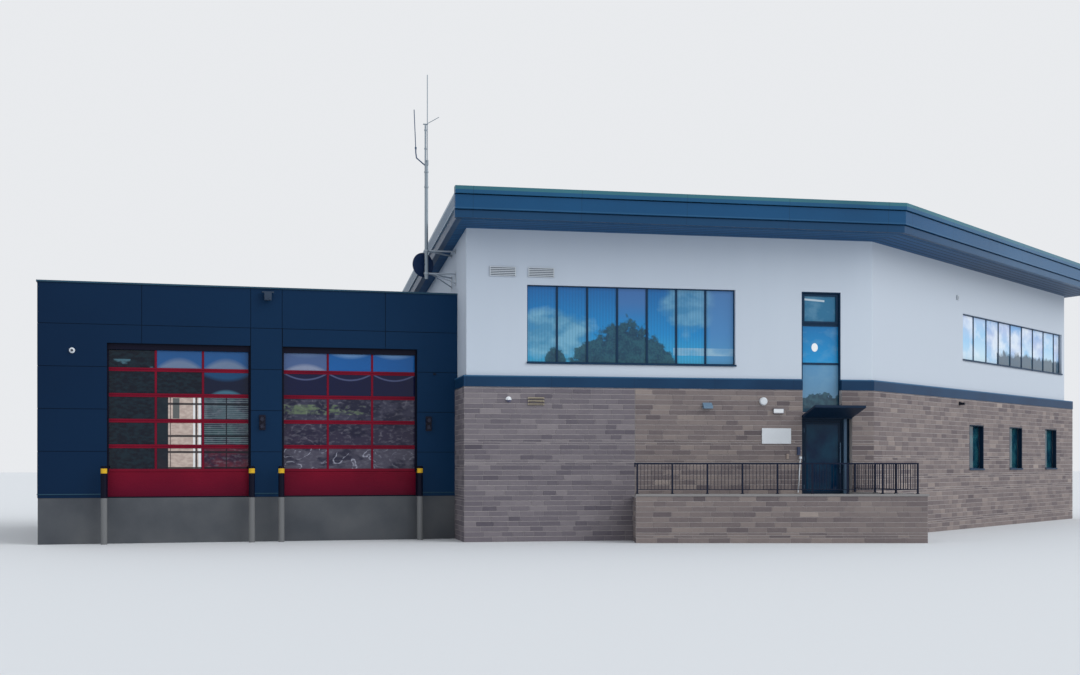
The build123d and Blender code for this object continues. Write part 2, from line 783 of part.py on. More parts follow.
door_front = frame_front + (ENTRANCE_DEPTH - DOOR_THICK) / 2
door_width = door_right - door_left
with BuildPart() as entrance_door:
    block(
        FRONT,
        door_left,
        door_width,
        DOOR_GAP,
        door_top,
        door_front,
        door_front + DOOR_THICK,
    )
    block(
        FRONT,
        door_left + DOOR_STILE,
        door_width - 2 * DOOR_STILE,
        DOOR_GAP + DOOR_RAIL,
        door_top - DOOR_STILE,
        door_front,
        door_front + DOOR_THICK,
        Mode.SUBTRACT,
    )
entrance_door.part.label = "entrance_door"

with BuildPart() as door_hinges:
    for middle in HINGE_HEIGHTS:
        with BuildSketch(Plane(origin=(0, 0, FLOOR + middle))):
            with Locations((door_left, door_front - HINGE_RADIUS - SEAT)):
                Circle(HINGE_RADIUS)
        extrude(amount=HINGE_LENGTH / 2, both=True)
door_hinges.part.label = "door_hinges"

door_middle = door_front + DOOR_THICK / 2
with BuildPart() as entrance_door_glass:
    block(
        FRONT,
        door_left + DOOR_STILE + SEAT,
        door_width - 2 * DOOR_STILE - 2 * SEAT,
        DOOR_GAP + DOOR_RAIL + SEAT,
        door_top - DOOR_STILE - SEAT,
        door_middle - GLASS / 2,
        door_middle + GLASS / 2,
    )
entrance_door_glass.part.label = "entrance_door_glass"

handle_x = door_right - DOOR_STILE / 2
with BuildPart() as door_handle:
    with BuildSketch(Plane(origin=(0, 0, FLOOR + HANDLE_LOW))):
        with Locations((handle_x, door_front - HANDLE_OUT)):
            Circle(HANDLE_RADIUS)
    extrude(amount=HANDLE_LENGTH)
    with BuildSketch(FRONT.offset(-door_front)):
        with Locations(
            (handle_x, HANDLE_LOW + HANDLE_INSET),
            (handle_x, HANDLE_LOW + HANDLE_LENGTH - HANDLE_INSET),
        ):
            Circle(HANDLE_STEM)
    extrude(amount=HANDLE_OUT)
door_handle.part.label = "door_handle"

with BuildPart() as entrance_canopy:
    with BuildSketch(FRONT_SECTION.offset(ENTRANCE_X)):
        with BuildLine():
            Polyline(
                (-STONE_PROUD, CANOPY_BASE),
                (-STONE_PROUD - CANOPY_OUT, CANOPY_BASE + CANOPY_RISE),
                (-STONE_PROUD - CANOPY_OUT, CANOPY_BASE + CANOPY_RISE + CANOPY_THICK),
                (-STONE_PROUD, CANOPY_BASE + CANOPY_THICK),
                close=True,
            )
        make_face()
    extrude(amount=ENTRANCE_WIDTH)
entrance_canopy.part.label = "entrance_canopy"

# Terrace in front of the entrance: a front run turned towards the road, and a return to the wall
terrace_dir = Vector(cos(radians(TERRACE_TURN)), sin(radians(TERRACE_TURN)), 0)
terrace_in = Vector(-terrace_dir.Y, terrace_dir.X, 0)
terrace_left = Vector(TERRACE_X, TERRACE_Y, 0)
terrace_right = terrace_left + terrace_dir * TERRACE_LENGTH
wall_start = Vector(0, -STONE_PROUD, 0)
wall_dir = Vector(1, 0, 0)
return_end = Vector(TERRACE_RETURN_X, -STONE_PROUD, 0)
return_dir = (return_end - terrace_right).normalized()
return_in = Vector(-return_dir.Y, return_dir.X, 0)


def meet(start, direction, other, other_direction):
    """Where a line from start meets another line, both in plan."""
    across = direction.cross(other_direction).Z
    reach = (other - start).cross(other_direction).Z / across
    return start + direction * reach


def terrace_line(inward):
    """Left end, corner and wall end of a line parallel to the terrace's edges."""
    front_start = terrace_left + terrace_in * inward
    return_start = terrace_right + return_in * inward
    corner = meet(front_start, terrace_dir, return_start, return_dir)
    end = meet(return_start, return_dir, wall_start, wall_dir)
    return [(p.X, p.Y) for p in (front_start, corner, end)]


def terrace_strip(out, inward, bottom, top):
    """An L along the terrace's front and its return, between two lines."""
    prism(terrace_line(-out) + terrace_line(inward)[::-1], bottom, top)


with BuildPart() as terrace_wall:
    terrace_strip(0, TERRACE_WALL, 0, FLOOR + COPING_TOP - COPING)
terrace_wall.part.label = "terrace_wall"

with BuildPart() as terrace_coping:
    terrace_strip(COPING_OVER, TERRACE_WALL + COPING_OVER, FLOOR + COPING_TOP - COPING, FLOOR + COPING_TOP)
terrace_coping.part.label = "terrace_coping"

terrace_back = meet(terrace_left, terrace_in, wall_start, wall_dir)
with BuildPart() as terrace_floor:
    prism(terrace_line(TERRACE_WALL) + [(terrace_back.X, terrace_back.Y)], 0, FLOOR)
terrace_floor.part.label = "terrace_floor"


def railing_run(start, end, bays, first_post, last_post):
    """Posts, two rails and balusters on the coping between two plan points."""
    run = Vector(*end) - Vector(*start)
    side = Plane(
        origin=Vector(*start) + UP * (FLOOR + COPING_TOP),
        x_dir=run,
        z_dir=run.cross(UP),
    )
    length = run.length
    pitch = length / bays
    rail_height = RAIL_TOP - COPING_TOP - RAIL_TUBE / 2
    with BuildSketch(side) as posts:
        for post in range(first_post, bays + last_post):
            with Locations((post * pitch, rail_height / 2)):
                Rectangle(RAIL_POST, rail_height)
    extrude(posts.sketch, amount=RAIL_POST / 2, both=True)
    with BuildSketch(side) as rails:
        with Locations((length / 2, rail_height)):
            Rectangle(length + RAIL_TUBE, RAIL_TUBE)
        with Locations((length / 2, RAIL_LOW)):
            Rectangle(length, RAIL_TUBE / 2)
    extrude(rails.sketch, amount=RAIL_TUBE / 2, both=True)
    count = int(pitch / BALUSTER_PITCH)
    with BuildSketch(side) as balusters:
        for bay in range(bays):
            with Locations(((bay + 0.5) * pitch, (rail_height + RAIL_LOW) / 2)):
                with GridLocations(pitch / (count + 1), 0, count, 1):
                    Rectangle(BALUSTER, rail_height - RAIL_LOW)
    extrude(balusters.sketch, amount=BALUSTER / 2, both=True)


rail_left, rail_corner, rail_end = terrace_line(TERRACE_WALL / 2)
with BuildPart() as terrace_railing:
    railing_run(
        (rail_left[0] + RAIL_POST, rail_left[1]),
        rail_corner,
        RAIL_BAYS,
        0,
        1,
    )
    railing_run(rail_corner, (rail_end[0], rail_end[1] - RAIL_TUBE), RAIL_RETURN_BAYS, 1, 1)
    hook = Plane(
        origin=Vector(*rail_left) - terrace_dir * (RAIL_TUBE / 2) + UP * (FLOOR + RAIL_TOP - RAIL_HOOK),
        x_dir=terrace_dir,
        z_dir=(0, 0, 1),
    )
    with BuildSketch(hook):
        Rectangle(RAIL_TUBE, RAIL_TUBE)
    extrude(amount=RAIL_HOOK - RAIL_TUBE)
    hook_top = hook.origin + UP * (RAIL_HOOK - RAIL_TUBE)
    with BuildSketch(Plane(origin=hook_top, x_dir=terrace_dir, z_dir=(0, 0, 1))):
        with Locations(((RAIL_POST + RAIL_TUBE) / 2, 0)):
            Rectangle(RAIL_POST + 2 * RAIL_TUBE, RAIL_TUBE)
    extrude(amount=RAIL_TUBE)
terrace_railing.part.label = "terrace_railing"

# Engine hall beside the office, turned a little against it
hall_end = HALL_WIDTH + PAST  # trimmed at the office wall


def against_office():
    """Trims the hall at the office's left wall, which steps out at the band and the stone."""
    split(bisect_by=PARTY, keep=Keep.BOTTOM)
    prism(stone_outer, 0, FLOOR + BAND_BOTTOM, mode=Mode.SUBTRACT)
    prism(band_outer, FLOOR + BAND_BOTTOM, FLOOR + BAND_TOP, mode=Mode.SUBTRACT)


def hall_box(left, right, front, rear, bottom, top, mode=Mode.ADD):
    """A block in the hall's own plan directions."""
    prism([(left, front), (right, front), (right, rear), (left, rear)], bottom, top, HALL_PLAN, mode)


hall_top = FLOOR + HALL_HEIGHT - CAP_THICK
with BuildPart() as hall_front_wall:
    hall_box(0, hall_end, 0, HALL_WALL, 0, hall_top)
    against_office()
    for start in DOOR_X:
        block(HALL, start, DOOR_WIDTH, 0, DOOR_HEIGHT, 0, HALL_WALL, Mode.SUBTRACT)
hall_front_wall.part.label = "hall_front_wall"

with BuildPart() as hall_left_wall:
    hall_box(0, HALL_WALL, HALL_WALL, HALL_DEPTH - HALL_WALL, 0, hall_top)
hall_left_wall.part.label = "hall_left_wall"

with BuildPart() as hall_rear_wall:
    hall_box(0, hall_end, HALL_DEPTH - HALL_WALL, HALL_DEPTH, 0, hall_top)
    against_office()
hall_rear_wall.part.label = "hall_rear_wall"

with BuildPart() as hall_floor:
    hall_box(HALL_WALL, hall_end, HALL_WALL, HALL_DEPTH - HALL_WALL, FLOOR - SLAB, FLOOR)
    against_office()
hall_floor.part.label = "hall_floor"

roof_level = FLOOR + HALL_HEIGHT - HALL_UPSTAND
with BuildPart() as hall_roof:
    hall_box(HALL_WALL, hall_end, HALL_WALL, HALL_DEPTH - HALL_WALL, roof_level - HALL_ROOF, roof_level)
    against_office()
hall_roof.part.label = "hall_roof"

with BuildPart() as hall_parapet_cap:
    hall_box(-CAP_OVER, hall_end, -CAP_OVER, HALL_DEPTH + CAP_OVER, hall_top, hall_top + CAP_THICK)
    hall_box(
        HALL_WALL,
        hall_end,
        HALL_WALL,
        HALL_DEPTH - HALL_WALL,
        hall_top,
        hall_top + CAP_THICK,
        Mode.SUBTRACT,
    )
    against_office()
hall_parapet_cap.part.label = "hall_parapet_cap"

drip_top = FLOOR + DRIP_TOP
with BuildPart() as hall_drip_trim:
    hall_box(-DRIP_OUT, hall_end, -DRIP_OUT, HALL_DEPTH + DRIP_OUT, drip_top - DRIP_OUT, drip_top)
    hall_box(0, hall_end, 0, HALL_DEPTH, FLOOR, drip_top, Mode.SUBTRACT)
    against_office()
    for start in DOOR_X:
        block(HALL, start, DOOR_WIDTH, 0, DOOR_HEIGHT, -DRIP_OUT, 0, Mode.SUBTRACT)
hall_drip_trim.part.label = "hall_drip_trim"

# Sectional doors, closed: dark frame, red rails and stiles, clear panes and a solid foot panel
frame_rear = DOOR_BACK + DOOR_FRAME_DEPTH
leaf_front = DOOR_BACK + PANEL_BACK
leaf_rear = leaf_front + PANEL_DEPTH
leaf_width = DOOR_WIDTH - 2 * DOOR_JAMB
leaf_height = DOOR_HEIGHT - DOOR_HEAD
column = leaf_width / DOOR_COLUMNS
section_height = DOOR_HEIGHT / DOOR_SECTIONS
with BuildPart() as hall_door_frames:
    for start in DOOR_X:
        block(HALL, start, DOOR_WIDTH, 0, DOOR_HEIGHT, DOOR_BACK, frame_rear)
        block(
            HALL,
            start + DOOR_JAMB,
            leaf_width,
            0,
            leaf_height,
            DOOR_BACK,
            frame_rear,
            Mode.SUBTRACT,
        )
hall_door_frames.part.label = "hall_door_frames"


def door_panes(start, seat):
    """Left edge, foot and top of each pane opening in one door."""
    for row in range(1, DOOR_SECTIONS):
        low = max(row * section_height + PANEL_RAIL, BOTTOM_PANEL)
        high = min((row + 1) * section_height, leaf_height + PANEL_RAIL / 2) - PANEL_RAIL
        for col in range(DOOR_COLUMNS):
            left = start + DOOR_JAMB + col * column + PANEL_STILE / 2
            yield left + seat, column - PANEL_STILE - 2 * seat, low + seat, high - seat


with BuildPart() as hall_door_leaves:
    for start in DOOR_X:
        block(
            HALL,
            start + DOOR_JAMB + SEAT,
            leaf_width - 2 * SEAT,
            0,
            leaf_height - SEAT,
            leaf_front,
            leaf_rear,
        )
        for x, width, low, high in door_panes(start, 0):
            block(HALL, x, width, low, high, leaf_front, leaf_rear, Mode.SUBTRACT)
        for row in range(1, DOOR_SECTIONS):
            joint = row * section_height - SECTION_GROOVE / 2
            block(
                HALL,
                start + DOOR_JAMB,
                leaf_width,
                joint,
                joint + SECTION_GROOVE,
                leaf_front,
                leaf_front + SECTION_GROOVE,
                Mode.SUBTRACT,
            )
hall_door_leaves.part.label = "hall_door_leaves"

with BuildPart() as hall_door_glass:
    for start in DOOR_X:
        for x, width, low, high in door_panes(start, SEAT):
            block(HALL, x, width, low, high, leaf_front + PANE_BACK, leaf_front + PANE_BACK + GLASS)
hall_door_glass.part.label = "hall_door_glass"

# Bollards that guard the door jambs, each on its own foot in the ground
bollard_axes = [x - BOLLARD_LEFT for x in DOOR_X] + [x + DOOR_WIDTH + BOLLARD_RIGHT for x in DOOR_X]
with BuildPart() as bollards:
    with BuildSketch(HALL_PLAN):
        with Locations(*[(x, -BOLLARD_OUT) for x in bollard_axes]):
            Circle(BOLLARD_RADIUS)
    extrude(amount=FLOOR + BOLLARD_HEIGHT)
    chamfer(bollards.faces().sort_by(Axis.Z)[-len(bollard_axes):].edges(), BOLLARD_BEVEL)
bollards.part.label = "bollards"

# Fittings on the hall front
lamp_heights = (SIGNAL_Z - SIGNAL_PITCH / 2, SIGNAL_Z + SIGNAL_PITCH / 2)
signal_axes = [x + DOOR_WIDTH + SIGNAL_RIGHT for x in DOOR_X]
lamp_places = [(x, z) for x in signal_axes for z in lamp_heights]
with BuildPart() as door_signals:
    with BuildSketch(HALL):
        with Locations(*[(x, SIGNAL_Z) for x in signal_axes]):
            Rectangle(SIGNAL_WIDTH, SIGNAL_HEIGHT)
    extrude(amount=SIGNAL_OUT)
    with BuildSketch(HALL.offset(SIGNAL_OUT)):
        with Locations(*lamp_places):
            Circle(SIGNAL_HOOD)
            Circle(SIGNAL_LENS, mode=Mode.SUBTRACT)
    extrude(amount=SIGNAL_HOOD_OUT - SIGNAL_OUT)
    with BuildSketch(HALL.offset(SIGNAL_OUT)):
        with Locations(*lamp_places):
            Circle(SIGNAL_LENS)
    extrude(amount=SIGNAL_LENS_OUT - SIGNAL_OUT)
door_signals.part.label = "door_signals"

flood_x = DOOR_X[0] + DOOR_WIDTH + FLOOD_RIGHT
flood_top = FLOOD_Z + FLOOD_HEIGHT
flood_lens = FLOOD_WIDTH / 2 - FLOOD_LENS_IN
with BuildPart() as floodlight:
    block(HALL, flood_x - FLOOD_WIDTH / 2, FLOOD_WIDTH, FLOOD_Z, flood_top, -FLOOD_OUT, -FLOOD_BACK)
    block(
        HALL,
        flood_x - FLOOD_WINGS / 2,
        FLOOD_WINGS,
        flood_top,
        flood_top + FLOOD_WING,
        -FLOOD_OUT,
        -FLOOD_BACK,
    )
    block(
        HALL,
        flood_x - FLOOD_WING,
        2 * FLOOD_WING,
        flood_top - FLOOD_WING,
        flood_top + FLOOD_WING,
        -FLOOD_BACK,
        0,
    )
    with BuildSketch(HALL.offset(FLOOD_OUT)):
        with Locations(
            (flood_x - flood_lens, FLOOD_Z + FLOOD_LENS_IN),
            (flood_x + flood_lens, FLOOD_Z + FLOOD_LENS_IN),
        ):
            Circle(FLOOD_LENS)
    extrude(amount=FLOOD_LENS_OUT)
floodlight.part.label = "floodlight"


def turned(plane, x, z, profile):
    """A round body on a face, turned from radii and how far each stands out."""
    centre = plane.from_local_coords((x, z, 0))
    with BuildSketch(Plane(origin=centre, x_dir=plane.x_dir, z_dir=-plane.y_dir)) as half:
        with BuildLine():
            Polyline((0, 0), *profile, close=True)
        make_face()
    revolve(half.sketch, axis=Axis(centre, plane.z_dir))


def ball_on_base(plane, x, z, base_radius, base_out, ball):
    """A half ball in bands on a round base, both on a face."""
    angles = [radians(90.0 * band / BALL_BANDS) for band in range(BALL_BANDS + 1)]
    curve = [(ball * cos(angle), base_out + ball * sin(angle)) for angle in angles[:-1]]
    turned(plane, x, z, [(base_radius, 0), (base_radius, base_out), *curve, (0, base_out + ball)])


with BuildPart() as security_dome:
    ball_on_base(HALL, DOME_X, DOME_Z, DOME_RADIUS, DOME_BASE, DOME_BALL)
security_dome.part.label = "security_dome"


def louvre(plane, x, width, low, height, face):
    """A louvred vent on a face: a rim round an open pocket with level blades across it."""
    front = -face - VENT_OUT
    block(plane, x, width, low, low + height, front, -face)
    clear_height = height - 2 * VENT_RIM
    pitch = clear_height / (VENT_BLADES + 0.5)
    clear_x = x + VENT_RIM
    clear_width = width - 2 * VENT_RIM
    for gap in range(VENT_BLADES + 1):
        foot = low + VENT_RIM + gap * pitch
        block(plane, clear_x, clear_width, foot, foot + pitch / 2, front, -face - VENT_BACK, Mode.SUBTRACT)


# Louvred vents under the eaves, and one in the stone below
with BuildPart() as wall_vents:
    for start in VENT_X:
        louvre(FRONT, start, VENT_WIDTH, VENT_Z, VENT_HEIGHT, 0)
    louvre(FRONT, STONE_VENT_X, STONE_VENT_WIDTH, STONE_VENT_Z, STONE_VENT_HEIGHT, STONE_PROUD)
    louvre(SIDE, CAMERA_S, SIDE_VENT_SIZE, SIDE_VENT_Z, SIDE_VENT_SIZE, 0)
wall_vents.part.label = "wall_vents"

# Small fittings on the stone
on_stone = FRONT.offset(STONE_PROUD)
with BuildPart() as wall_lights:
    ball_on_base(
        on_stone,
        DOME_LIGHT_X,
        DOME_LIGHT_Z,
        DOME_LIGHT_RADIUS,
        DOME_LIGHT_OUT,
        DOME_LIGHT_BALL,
    )
    with BuildSketch(FRONT_SECTION.offset(WALL_LIGHT_X)):
        with BuildLine():
            Polyline(
                (-STONE_PROUD, WALL_LIGHT_Z),
                (-STONE_PROUD - WALL_LIGHT_OUT, WALL_LIGHT_Z),
                (-STONE_PROUD - WALL_LIGHT_OUT, WALL_LIGHT_Z + WALL_LIGHT_NOSE),
                (-STONE_PROUD, WALL_LIGHT_Z + WALL_LIGHT_HEIGHT),
                close=True,
            )
        make_face()
    extrude(amount=WALL_LIGHT_WIDTH)
    with BuildSketch(on_stone):
        with Locations((BULKHEAD_X + BULKHEAD_WIDTH / 2, BULKHEAD_Z + BULKHEAD_HEIGHT / 2)):
            RectangleRounded(BULKHEAD_WIDTH, BULKHEAD_HEIGHT, BULKHEAD_ROUND)
    extrude(amount=BULKHEAD_OUT)
wall_lights.part.label = "wall_lights"

with BuildPart() as alarm_box:
    with BuildSketch(on_stone):
        with Locations((ALARM_X, ALARM_Z)):
            Circle(ALARM_RADIUS)
    extrude(amount=ALARM_OUT)
    chamfer(alarm_box.faces().sort_by(Axis.Y)[0].edges(), ALARM_BEVEL)
alarm_box.part.label = "alarm_box"

with BuildPart() as door_entry_units:
    block(
        FRONT,
        INTERCOM_X,
        INTERCOM_WIDTH,
        INTERCOM_Z,
        INTERCOM_Z + INTERCOM_HEIGHT,
        -STONE_PROUD - INTERCOM_OUT,
        -STONE_PROUD,
    )
    block(
        FRONT,
        READER_X,
        READER_WIDTH,
        READER_Z,
        READER_Z + READER_HEIGHT,
        -STONE_PROUD - READER_OUT,
        -STONE_PROUD,
    )
door_entry_units.part.label = "door_entry_units"

def rod(start, end, radius):
    """A round bar between two points."""
    line = Vector(*end) - Vector(*start)
    with BuildSketch(Plane(origin=start, z_dir=line)) as outline:
        Circle(radius)
    extrude(outline.sketch, amount=line.length)


grab_line = (Vector(*GRAB_HEAD) - Vector(*GRAB_FOOT)).normalized()
grab_y = -STONE_PROUD - GRAB_OUT
with BuildPart() as grab_rail:
    rod(
        (GRAB_FOOT[0], grab_y, FLOOR + GRAB_FOOT[1]),
        (GRAB_HEAD[0], grab_y, FLOOR + GRAB_HEAD[1]),
        GRAB_RADIUS,
    )
    with BuildSketch(on_stone):
        with Locations(
            Vector(*GRAB_FOOT) + grab_line * GRAB_INSET,
            Vector(*GRAB_HEAD) - grab_line * GRAB_INSET,
        ):
            Circle(GRAB_STEM)
    extrude(amount=GRAB_OUT)
    block(
        FRONT,
        GRAB_HEAD[0] - GRAB_BLOCK / 2,
        GRAB_BLOCK,
        GRAB_HEAD[1] - GRAB_BLOCK,
        GRAB_HEAD[1],
        grab_y - GRAB_BLOCK / 2,
        grab_y + GRAB_BLOCK / 2,
    )
grab_rail.part.label = "grab_rail"

with BuildPart() as side_camera:
    block(
        SIDE,
        CAMERA_S,
        CAMERA_SIZE,
        CAMERA_Z,
        CAMERA_Z + CAMERA_SIZE,
        -STONE_PROUD - CAMERA_SIZE / 2,
        -STONE_PROUD,
    )
    block(
        SIDE,
        CAMERA_S + (CAMERA_SIZE - CAMERA_BODY) / 2,
        CAMERA_BODY,
        CAMERA_Z,
        CAMERA_Z + CAMERA_BODY,
        -STONE_PROUD - CAMERA_OUT,
        -STONE_PROUD - CAMERA_SIZE / 2,
    )
side_camera.part.label = "side_camera"


# Mast on two braced brackets off the office's left wall
def on_mast(x, z, y=0.0):
    """A point from the mast's axis: along X, above the floor, and back from it."""
    return (-MAST_OUT + x, MAST_Y + y, FLOOR + z)


def clamp(x, z, radius):
    """A ring round a tube of the mast."""
    with BuildSketch(Plane(origin=on_mast(x, z))) as ring:
        Circle(radius + CLAMP_OUT)
    extrude(ring.sketch, amount=CLAMP_HEIGHT)


with BuildPart() as mast_pole:
    rod(on_mast(0, MAST_FOOT), on_mast(0, MAST_LOWER_TOP), MAST_RADIUS)
    rod(on_mast(MAST_UPPER_X, MAST_LOWER_TOP), on_mast(MAST_UPPER_X, MAST_UPPER_TOP), MAST_UPPER_RADIUS)
    rod(on_mast(WHIP_X, MAST_LOWER_TOP), on_mast(WHIP_X, MAST_WHIP_TOP), WHIP_RADIUS)
    for height in POLE_CLAMPS:
        clamp(0, height, MAST_RADIUS)
    for height in TUBE_CLAMPS:
        clamp(MAST_UPPER_X, height, MAST_UPPER_RADIUS)
    with BuildSketch(Plane(origin=on_mast(WHIP_X, WHIP_CLAMP))):
        Rectangle(MAST_RADIUS, WHIP_CLAMP_SIZE)
    extrude(amount=WHIP_CLAMP_SIZE + CLAMP_HEIGHT)
    with BuildSketch(Plane(origin=on_mast(MAST_UPPER_X, MAST_UPPER_TOP))):
        Rectangle(TUBE_HEAD, TUBE_HEAD / 2)
    extrude(amount=TUBE_HEAD_THICK)
    spur_end = (MAST_UPPER_X + SPUR[0], MAST_UPPER_TOP + SPUR[1])
    rod(on_mast(MAST_UPPER_X, MAST_UPPER_TOP), on_mast(*spur_end), SPUR_RADIUS)
mast_pole.part.label = "mast_pole"

with BuildPart() as mast_brackets:
    for back in (0, BRACKET_REAR):
        for height in (UPPER_ARM, LOWER_ARM):
            rod(on_mast(0, height), on_mast(MAST_OUT, height, back), ARM_RADIUS)
        brace_start = on_mast(BRACE_IN, LOWER_ARM, back * BRACE_IN / MAST_OUT)
        rod(brace_start, on_mast(MAST_OUT, BRACE_FOOT, back), BRACE_RADIUS)
        for low, high in (
            (BRACE_FOOT - PLATE_PAST, LOWER_ARM + PLATE_PAST),
            (UPPER_ARM - PLATE_PAST, UPPER_ARM + PLATE_PAST),
        ):
            with BuildSketch(Plane(origin=on_mast(MAST_OUT - PLATE_THICK / 2, low, back))):
                Rectangle(PLATE_THICK, PLATE_WIDTH)
            extrude(amount=high - low)
    split(bisect_by=PARTY, keep=Keep.BOTTOM)
    for height in (UPPER_ARM, LOWER_ARM):
        with BuildSketch(Plane(origin=on_mast(0, height - ARM_RADIUS))):
            Circle(MAST_RADIUS + ARM_RADIUS)
        extrude(amount=2 * ARM_RADIUS)
    with BuildSketch(Plane(origin=on_mast(0, MAST_FOOT))):
        Circle(MAST_RADIUS)
    extrude(amount=MAST_LOWER_TOP - MAST_FOOT, mode=Mode.SUBTRACT)
mast_brackets.part.label = "mast_brackets"

dish_dir = Vector(-sin(radians(DISH_TURN)), cos(radians(DISH_TURN)), 0)
dish_side = Vector(cos(radians(DISH_TURN)), sin(radians(DISH_TURN)), 0)
dish_centre = on_mast(0, DISH_Z)
dish_curve = [(DISH_RADIUS * part, DISH_BACK + DISH_DEEP * part**2) for part in DISH_RINGS]
with BuildPart() as satellite_dish:
    with BuildSketch(Plane(origin=dish_centre, x_dir=dish_side, z_dir=(0, 0, 1))):
        with BuildLine():
            Polyline(*dish_curve, *[(x, y + DISH_SKIN) for x, y in dish_curve[::-1]], close=True)
        make_face()
    revolve(axis=Axis(dish_centre, dish_dir))
    with BuildSketch(Plane(origin=dish_centre, z_dir=dish_dir)):
        Circle(DISH_HUB)
    extrude(amount=DISH_BACK + DISH_SKIN)
    with BuildSketch(Plane(origin=on_mast(0, DISH_Z - DISH_HUB))):
        Circle(MAST_RADIUS)
    extrude(amount=2 * DISH_HUB, mode=Mode.SUBTRACT)
satellite_dish.part.label = "satellite_dish"

with BuildPart() as side_antenna:
    for before, after in zip(ANTENNA_ROUTE, (*ANTENNA_ROUTE[1:], ANTENNA_COLLAR)):
        rod(on_mast(*before), on_mast(*after), ANTENNA_RADIUS)
    rod(on_mast(*ANTENNA_COLLAR), on_mast(*ANTENNA_TIP), ANTENNA_ROD)
    with Locations(on_mast(*ANTENNA_COLLAR)):
        Cylinder(ANTENNA_COLLAR_RADIUS, 2 * ANTENNA_COLLAR_RADIUS)
    with BuildSketch(Plane(origin=on_mast(0, MAST_FOOT))):
        Circle(MAST_RADIUS)
    extrude(amount=MAST_LOWER_TOP - MAST_FOOT, mode=Mode.SUBTRACT)
side_antenna.part.label = "side_antenna"

os.makedirs("parts", exist_ok=True)
for piece in (
    stone_front_wall,
    stone_entrance_pier,
    stone_entrance_lintel,
    entrance_step,
    stone_side_wall,
    stone_rear_walls,
    stone_left_wall,
    string_band,
    ground_floor,
    first_floor,
    render_front_wall,
    render_side_wall,
    render_rear_walls,
    render_left_wall,
    roof_soffit,
    roof_deck,
    front_fascia,
    verge_fascia,
    upper_window_frames,
    upper_window_glass,
    lower_window_frames,
    lower_window_glass,
    stair_window_frame,
    stair_window_glass,
    entrance_frame,
    entrance_post,
    entrance_door,
    door_hinges,
    entrance_door_glass,
    door_handle,
    entrance_canopy,
    terrace_wall,
    terrace_coping,
    terrace_floor,
    terrace_railing,
    hall_front_wall,
    hall_left_wall,
    hall_rear_wall,
    hall_floor,
    hall_roof,
    hall_parapet_cap,
    hall_drip_trim,
    hall_door_frames,
    hall_door_leaves,
    hall_door_glass,
    bollards,
    door_signals,
    floodlight,
    security_dome,
    wall_vents,
    wall_lights,
    alarm_box,
    door_entry_units,
    grab_rail,
    side_camera,
    mast_pole,
    mast_brackets,
    satellite_dish,
    side_antenna,
):
    export_step(piece.part, f"parts/{piece.part.label}.step")
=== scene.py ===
import math
import random

import bmesh
import bpy
from mathutils import Matrix, Vector
from mathutils.geometry import intersect_line_line


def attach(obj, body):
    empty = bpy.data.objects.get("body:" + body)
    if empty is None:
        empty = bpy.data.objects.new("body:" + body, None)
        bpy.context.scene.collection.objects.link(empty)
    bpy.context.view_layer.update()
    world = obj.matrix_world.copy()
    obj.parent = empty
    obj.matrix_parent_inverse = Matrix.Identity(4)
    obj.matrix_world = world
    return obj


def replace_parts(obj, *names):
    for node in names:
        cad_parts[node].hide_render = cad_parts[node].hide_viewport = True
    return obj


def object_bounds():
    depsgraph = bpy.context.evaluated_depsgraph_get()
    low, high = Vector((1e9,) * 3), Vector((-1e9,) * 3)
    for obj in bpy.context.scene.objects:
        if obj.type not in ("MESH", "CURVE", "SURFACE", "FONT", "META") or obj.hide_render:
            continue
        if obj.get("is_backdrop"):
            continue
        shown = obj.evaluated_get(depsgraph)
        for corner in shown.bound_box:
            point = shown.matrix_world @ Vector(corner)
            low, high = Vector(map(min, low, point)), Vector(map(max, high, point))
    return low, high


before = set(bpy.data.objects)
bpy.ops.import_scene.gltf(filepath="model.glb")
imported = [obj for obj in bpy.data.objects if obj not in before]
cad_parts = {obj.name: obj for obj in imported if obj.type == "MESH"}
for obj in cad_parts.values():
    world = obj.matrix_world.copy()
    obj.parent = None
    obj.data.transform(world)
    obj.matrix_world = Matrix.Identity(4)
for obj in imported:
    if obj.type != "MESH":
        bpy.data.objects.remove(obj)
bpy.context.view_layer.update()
random.seed(7)

# Metres, in the part's own frame: X along the office front, Y back into the building, Z up
UP = Vector((0, 0, 1))
FLOOR = 1.25
BAND_BOTTOM = FLOOR + 3.08
BAND_TOP = FLOOR + 3.395
BAND_EDGE = 0.035
BAND_SHEET = 2.4
BAND_JOINT = 0.006
FRONT_LENGTH = 12.08
BEND = math.radians(40)
HALF_BEND_TAN = math.tan(BEND / 2)
STONE_WING = 17.9
WING = 17.2
DEPTH = 14.6
PROUD = 0.07
ALONG = Vector((math.cos(BEND), math.sin(BEND), 0))
OUTWARD = Vector((math.sin(BEND), -math.cos(BEND), 0))
CORNER = Vector((FRONT_LENGTH, 0, 0))

# Roof, heights above the lowest ground
FALL = math.tan(math.radians(3.6))
SOFFIT_LEVEL = FLOOR + 7.485  # where the front wall meets the soffit
SOFFIT_BOARD = 0.2
SOFFIT_GAP = 0.03
MAIN_TIER = FLOOR + 7.785
CAP_TIER = FLOOR + 8.19
CAP_EDGE = CAP_TIER + 0.115
FASCIA_SHEET = 3.0
FASCIA_JOINT = 0.008
EAVES_OUT = 1.215
VERGE_OUT = 0.44
REAR_OUT = 0.5
ROOF_RISE = 0.64  # roof surface above the soffit
SEAM_PITCH = 0.5
SEAM_WIDTH = 0.025
SEAM_RISE = 0.03
SHORTEST_SEAM = 0.5
SEAM_STOP = 0.2  # short of the eaves
SEAM_START = 0.15  # in from the left verge

